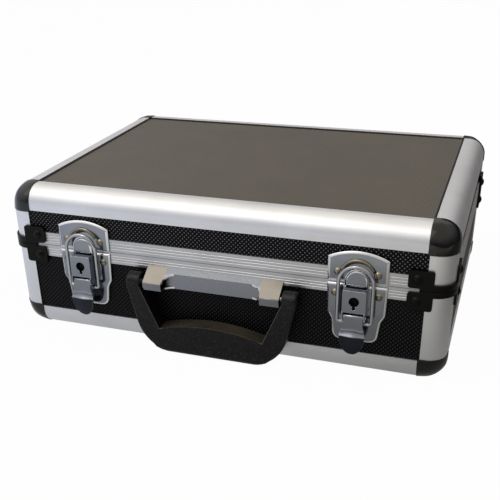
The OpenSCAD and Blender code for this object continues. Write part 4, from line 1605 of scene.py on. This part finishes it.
@dataclass
class CornerFittings:
    """Ball corners, braces and hinge leaves, softened as moulded and pressed pieces are."""

    tip_pull: float = 1.3
    tip_reach: float = 11.0
    lip_round: float = 0.3
    brace_round: float = 0.4
    leaf_round: float = 0.25

    def ball_corners(self, half: str) -> None:
        """Round the ball corners' tips and their thin lips.

        Args:
            half: base or lid.
        """
        node = f"{half}_ball_corners"
        made = Bench.from_node(f"{half}_moulded_corners", node)
        low, high = box_mm(node)
        level, inwards = (low.z, 1) if half == "base" else (high.z, -1)
        for sx, x in ((-1, low.x), (1, high.x)):
            for sy, y in ((-1, low.y), (1, high.y)):
                tip = Vector((x, y, level))
                way = Vector((-sx, -sy, inwards)).normalized()
                made.choose(Part.POINT, lambda p, n: (p - tip).length < self.tip_reach)
                made.move(way * self.tip_pull, reach=self.tip_reach)
        made.ease(self.lip_round, 2, 40)
        made.finish(BLACK_ABS, half, "black_fitting", [node])

    def eased(
        self, name: str, node: str, finish: Finish, body: str, slot: str, width: float
    ) -> None:
        """Ease a CAD piece's edges.

        Args:
            name: the piece's name.
            node: the CAD node that it replaces.
            finish: its finish.
            body: the body that carries it.
            slot: its material slot.
            width: the width of its eased edges.
        """
        made = Bench.from_node(name, node)
        made.ease(width, 3)
        made.finish(finish, body, slot, [node])

    def build(self) -> None:
        """Soften the fittings of both halves."""
        for half in ("base", "lid"):
            self.ball_corners(half)
            self.eased(
                f"{half}_moulded_braces", f"{half}_corner_braces", BLACK_NYLON, half,
                "black_fitting", self.brace_round,
            )
            self.eased(
                f"{half}_hinge_pressings", f"hinge_{half}_leaves", NICKEL, half,
                "latch_steel", self.leaf_round,
            )


@dataclass
class PanelShadowFillet:
    """A black fillet laid round the top panel against its frame, painted shade for the dark line
    where the frame's lip shades the panel.
    """

    width: float = 1.6
    height: float = 1.0
    edge: float = 0.2

    def build(self) -> None:
        """Lay a flat ring on the panel and raise its outer side against the frame."""
        left, right = box_mm("lid_left_edge")[1].x, box_mm("lid_right_edge")[0].x
        front, back = box_mm("lid_front_edge")[1].y, box_mm("lid_back_edge")[0].y
        level = box_mm("lid_top_panel")[1].z
        middle = Vector(((left + right) / 2, (front + back) / 2, level))
        half_w, half_d = (right - left) / 2, (back - front) / 2

        def within(place: Vector, gap: float) -> bool:
            """Tell whether a place lies further in from the frame than a gap."""
            away = place - middle
            return abs(away.x) < half_w - gap and abs(away.y) < half_d - gap

        def on_side(place: Vector, way: Vector) -> bool:
            """Tell whether an edge lies against the frame."""
            return not within(place, self.width / 4)

        def on_border(place: Vector, way: Vector) -> bool:
            """Tell whether an edge borders the fillet, on the panel or up the frame."""
            raised = on_side(place, way) and place.z > level + self.height / 2
            return raised or within(place, self.width * 0.9)

        made = Bench.start(
            "top_panel_shadow_fillet", bpy.ops.mesh.primitive_plane_add, middle,
            stretch=(2 * half_w, 2 * half_d, 1), size=MM,
        )
        made.all()
        made.inset(self.width)
        made.choose(Part.FACE, lambda p, n: within(p, 2 * self.width))
        bpy.ops.mesh.delete(type="FACE")
        made.choose(Part.EDGE, on_side)
        made.extrude((0, 0, self.height))
        made.choose(Part.EDGE, on_border)
        bpy.ops.mesh.bridge_edge_loops()
        made.merge()
        made.ease(self.edge)
        made.finish(PAINTED_SHADOW_FILLET, "lid", "black_fitting")


@dataclass
class PackingFoam:
    """The foam that holds the microphones: a cut tray and an egg crate pad.

    The pad's peaks are pulled past its depth by overshoot, as smoothing draws them back.
    """

    edge_round: float = 2.0
    pitch: float = 19.0
    depth: float = 9.0
    overshoot: float = 1.55
    squash: float = 0.6

    def tray(self) -> None:
        """Round the cut foam's edges, as a hot wire leaves them."""
        made = Bench.from_node("cut_foam_tray", "base_foam")
        made.ease(self.edge_round, 3, 40)
        made.finish(PACKING_FOAM, "base", "foam", ["base_foam"], angle=60)

    def pad(self) -> None:
        """Raise the lid pad's peaks from a grid and close it up to the lid."""
        low, high = box_mm("lid_foam")
        span = high - low
        cells = [2 * round(span[axis] / self.pitch) for axis in (0, 1)]
        middle = (low + high) / 2
        made = Bench.start(
            "egg_crate_pad", bpy.ops.mesh.primitive_grid_add,
            (middle.x, middle.y, low.z + self.depth), (180, 0, 0), (span.x, span.y, 1),
            x_subdivisions=cells[0], y_subdivisions=cells[1], size=MM,
        )
        steps = [span[axis] / cells[axis] for axis in (0, 1)]

        def peak(place: Vector, normal: Vector) -> bool:
            """Pick every second crossing of the grid away from its border."""
            i = round((place.x - low.x) / steps[0])
            j = round((place.y - low.y) / steps[1])
            return i % 2 == 1 and j % 2 == 1

        def on_border(place: Vector, way: Vector) -> bool:
            """Tell whether an edge lies on the pad's border."""
            ends = (place.x - low.x, high.x - place.x, place.y - low.y, high.y - place.y)
            return min(ends) < 5 * NEAR

        made.choose(Part.POINT, peak)
        made.move((0, 0, -self.depth * self.overshoot))
        made.modify("SUBSURF", levels=2, render_levels=2, boundary_smooth="PRESERVE_CORNERS")
        made.choose(Part.EDGE, on_border)
        made.extrude((0, 0, span.z - self.depth))
        bpy.ops.mesh.edge_face_add()
        made.merge()
        made.finish(PACKING_FOAM, "lid", "foam", ["lid_foam"], angle=60)

    def build(self) -> None:
        """Model the tray and the pad."""
        self.tray()
        self.pad()


@dataclass(frozen=True)
class SoftBox:
    """A square soft box, with its place and size in metres and its power in watts."""

    name: str
    place: Point
    size: float
    power: float

    def hang(self, aim: Point) -> None:
        """Hang the soft box so that it faces a place.

        Args:
            aim: the place in metres.
        """
        data = bpy.data.lights.new(self.name, "AREA")
        data.shape = "SQUARE"
        data.size = self.size
        data.energy = self.power
        lamp = bpy.data.objects.new(self.name, data)
        bpy.context.scene.collection.objects.link(lamp)
        lamp.location = self.place
        away = Vector(self.place) - Vector(aim)
        lamp.rotation_euler = away.to_track_quat("Z", "Y").to_euler()


@dataclass
class Studio:
    """Camera, pale floor and soft light at the photograph's viewing angle.

    A slope of light gives a coordinate's start and end, and the light at both.
    """

    frame_px: float = 500
    focal_px: float = 796.2
    principal_px: tuple[float, float] = (232.5, 333.5)
    eye_mm: Point = (170.7, -548.0, 270.8)
    turn_deg: Point = (61.4011, 1.209, 19.2849)
    sensor_mm: float = 36
    floor_m: float = 16
    floor_glow: float = 0.97
    floor_tone: str = "#e4e4e6"
    mirrored_tone: str = "#55565b"
    lamp_side_tone: str = "#f6f0dc"
    window_tone: str = "#e9eefc"
    ceiling_tone: str = "#fff3da"
    floor_light: dict[str, Slope] = field(
        default_factory=lambda: {
            "X": (0.3, -0.35, 0.09, 0.9),
            "Y": (-0.17, -0.36, 0.0, 0.52),
        }
    )
    room_light: dict[str, Slope] = field(
        default_factory=lambda: {
            "X": (0.1, -0.9, 0.0, 0.6),
            "Y": (0.0, 0.9, 0.16, 0.0),
            "Z": (0.05, 0.8, 0.0, 0.72),
        }
    )
    aim: Point = (0, 0, 0.05)
    lamps: tuple[SoftBox, ...] = (
        SoftBox("key_softbox", (-0.6, -0.8, 1.6), 1.5, 5),
        SoftBox("back_softbox", (0.3, 1.5, 1.4), 1.4, 1.6),
        SoftBox("near_window", (-0.35, -0.75, 1.3), 0.24, 1.4),
    )

    def camera(self) -> None:
        """Stand the camera where the photograph was taken from."""
        data = bpy.data.cameras.new("camera")
        data.sensor_width = self.sensor_mm
        data.lens = self.focal_px / self.frame_px * self.sensor_mm
        data.shift_x = (self.frame_px / 2 - self.principal_px[0]) / self.frame_px
        data.shift_y = (self.principal_px[1] - self.frame_px / 2) / self.frame_px
        data.clip_start = 0.01
        data.clip_end = 50
        camera = bpy.data.objects.new("camera", data)
        bpy.context.scene.collection.objects.link(camera)
        camera.location = metres(self.eye_mm)
        camera.rotation_euler = [math.radians(angle) for angle in self.turn_deg]
        bpy.context.scene.camera = camera

    def slopes(
        self,
        tree: bpy.types.NodeTree,
        source: bpy.types.NodeSocket,
        light: dict[str, Slope],
        ease: str,
    ) -> dict[str, bpy.types.NodeSocket]:
        """Add the light's slopes along the axes.

        Args:
            tree: the node tree.
            source: the socket with the coordinates.
            light: the slope along each axis.
            ease: how a slope runs between its ends.

        Returns:
            The socket with the light for each axis.
        """
        parts = add_node(tree, "ShaderNodeSeparateXYZ", {"Vector": source}).outputs
        return {
            axis: add_node(
                tree,
                "ShaderNodeMapRange",
                {
                    "Value": parts[axis], "From Min": start, "From Max": end,
                    "To Min": low, "To Max": high,
                },
                interpolation_type=ease,
            ).outputs[0]
            for axis, (start, end, low, high) in light.items()
        }

    def floor(self) -> None:
        """Lay a plain pale floor that keeps the case's shadow.

        The camera sees it white. The metal mirrors it dark, and brighter to the left
        and to the front, as the photographed metal does.
        """
        bpy.ops.mesh.primitive_plane_add(size=self.floor_m, location=(0, 0, 0))
        floor = bpy.context.active_object
        floor.name = "floor"
        paint = bpy.data.materials.new("pale_floor")
        paint.use_nodes = True
        tree = paint.node_tree
        tree.nodes.clear()
        path = add_node(tree, "ShaderNodeLightPath").outputs
        tone = add_node(
            tree,
            "ShaderNodeMix",
            {
                "Factor": path["Is Glossy Ray"], "A": srgb(self.floor_tone),
                "B": srgb(self.mirrored_tone),
            },
            data_type="RGBA",
        ).outputs["Result"]
        lit = add_node(tree, "ShaderNodeBsdfDiffuse", {"Color": tone, "Roughness": 1.0})
        place = add_node(tree, "ShaderNodeTexCoord").outputs["Object"]
        shares = self.slopes(tree, place, self.floor_light, "LINEAR")
        side = add_node(
            tree,
            "ShaderNodeMix",
            {"Factor": shares["X"], "A": srgb(self.lamp_side_tone), "B": srgb(self.window_tone)},
            data_type="RGBA",
        ).outputs["Result"]
        side = add_node(
            tree,
            "ShaderNodeMix",
            {"Factor": path["Is Camera Ray"], "A": side, "B": srgb("#ffffff")},
            data_type="RGBA",
        ).outputs["Result"]
        glow = add_node(tree, "ShaderNodeEmission", {"Color": side, "Strength": 1.0})
        mirrored = add_node(
            tree, "ShaderNodeMath", {0: shares["X"], 1: shares["Y"]}, operation="ADD"
        ).outputs[0]
        mirrored = add_node(
            tree, "ShaderNodeMath", {0: mirrored, 1: path["Is Glossy Ray"]}, operation="MULTIPLY"
        ).outputs[0]
        seen = add_node(
            tree,
            "ShaderNodeMath",
            {0: path["Is Camera Ray"], 1: self.floor_glow, 2: mirrored},
            operation="MULTIPLY_ADD",
            use_clamp=True,
        )
        both = add_node(
            tree,
            "ShaderNodeMixShader",
            {0: seen.outputs[0], 1: lit.outputs[0], 2: glow.outputs[0]},
        )
        add_node(tree, "ShaderNodeOutputMaterial", {"Surface": both.outputs[0]})
        floor.data.materials.append(paint)

    def world(self) -> None:
        """Surround the case with a room: bright and warm above, a cool window to the left.

        The part of the room behind the case is the dimmest.
        """
        world = bpy.data.worlds.new("room")
        bpy.context.scene.world = world
        world.use_nodes = True
        tree = world.node_tree
        tree.nodes.clear()
        path = add_node(tree, "ShaderNodeLightPath")
        way = add_node(tree, "ShaderNodeTexCoord").outputs["Generated"]
        shares = self.slopes(tree, way, self.room_light, "SMOOTHSTEP")
        level = add_node(
            tree, "ShaderNodeMath", {0: shares["X"], 1: shares["Y"]}, operation="ADD"
        ).outputs[0]
        level = add_node(
            tree, "ShaderNodeMath", {0: level, 1: shares["Z"]}, operation="ADD"
        ).outputs[0]
        tone = add_node(
            tree,
            "ShaderNodeMix",
            {"Factor": shares["Z"], "A": srgb(self.window_tone), "B": srgb(self.ceiling_tone)},
            data_type="RGBA",
        ).outputs["Result"]
        room = add_node(tree, "ShaderNodeBackground", {"Color": tone, "Strength": level})
        white = add_node(
            tree, "ShaderNodeBackground", {"Color": srgb("#ffffff"), "Strength": 1.0}
        )
        both = add_node(
            tree,
            "ShaderNodeMixShader",
            {0: path.outputs["Is Camera Ray"], 1: room.outputs[0], 2: white.outputs[0]},
        )
        add_node(tree, "ShaderNodeOutputWorld", {"Surface": both.outputs[0]})

    def build(self) -> None:
        """Set up the camera, the floor, the room and the lamps."""
        self.camera()
        self.floor()
        self.world()
        for lamp in self.lamps:
            lamp.hang(self.aim)
        bpy.context.scene.view_settings.view_transform = "Standard"
        LOG.info("studio is set")


def main() -> None:
    """Build the studio, dress the CAD nodes, and model what the CAD leaves plain."""
    bpy.ops.object.select_all(action="DESELECT")
    Studio().build()
    CadFinishes(frame["nodes"]).dress()
    Latches().build()
    Handle().build()
    CornerFittings().build()
    PanelShadowFillet().build()
    PackingFoam().build()


if __name__ == "__main__":
    main()
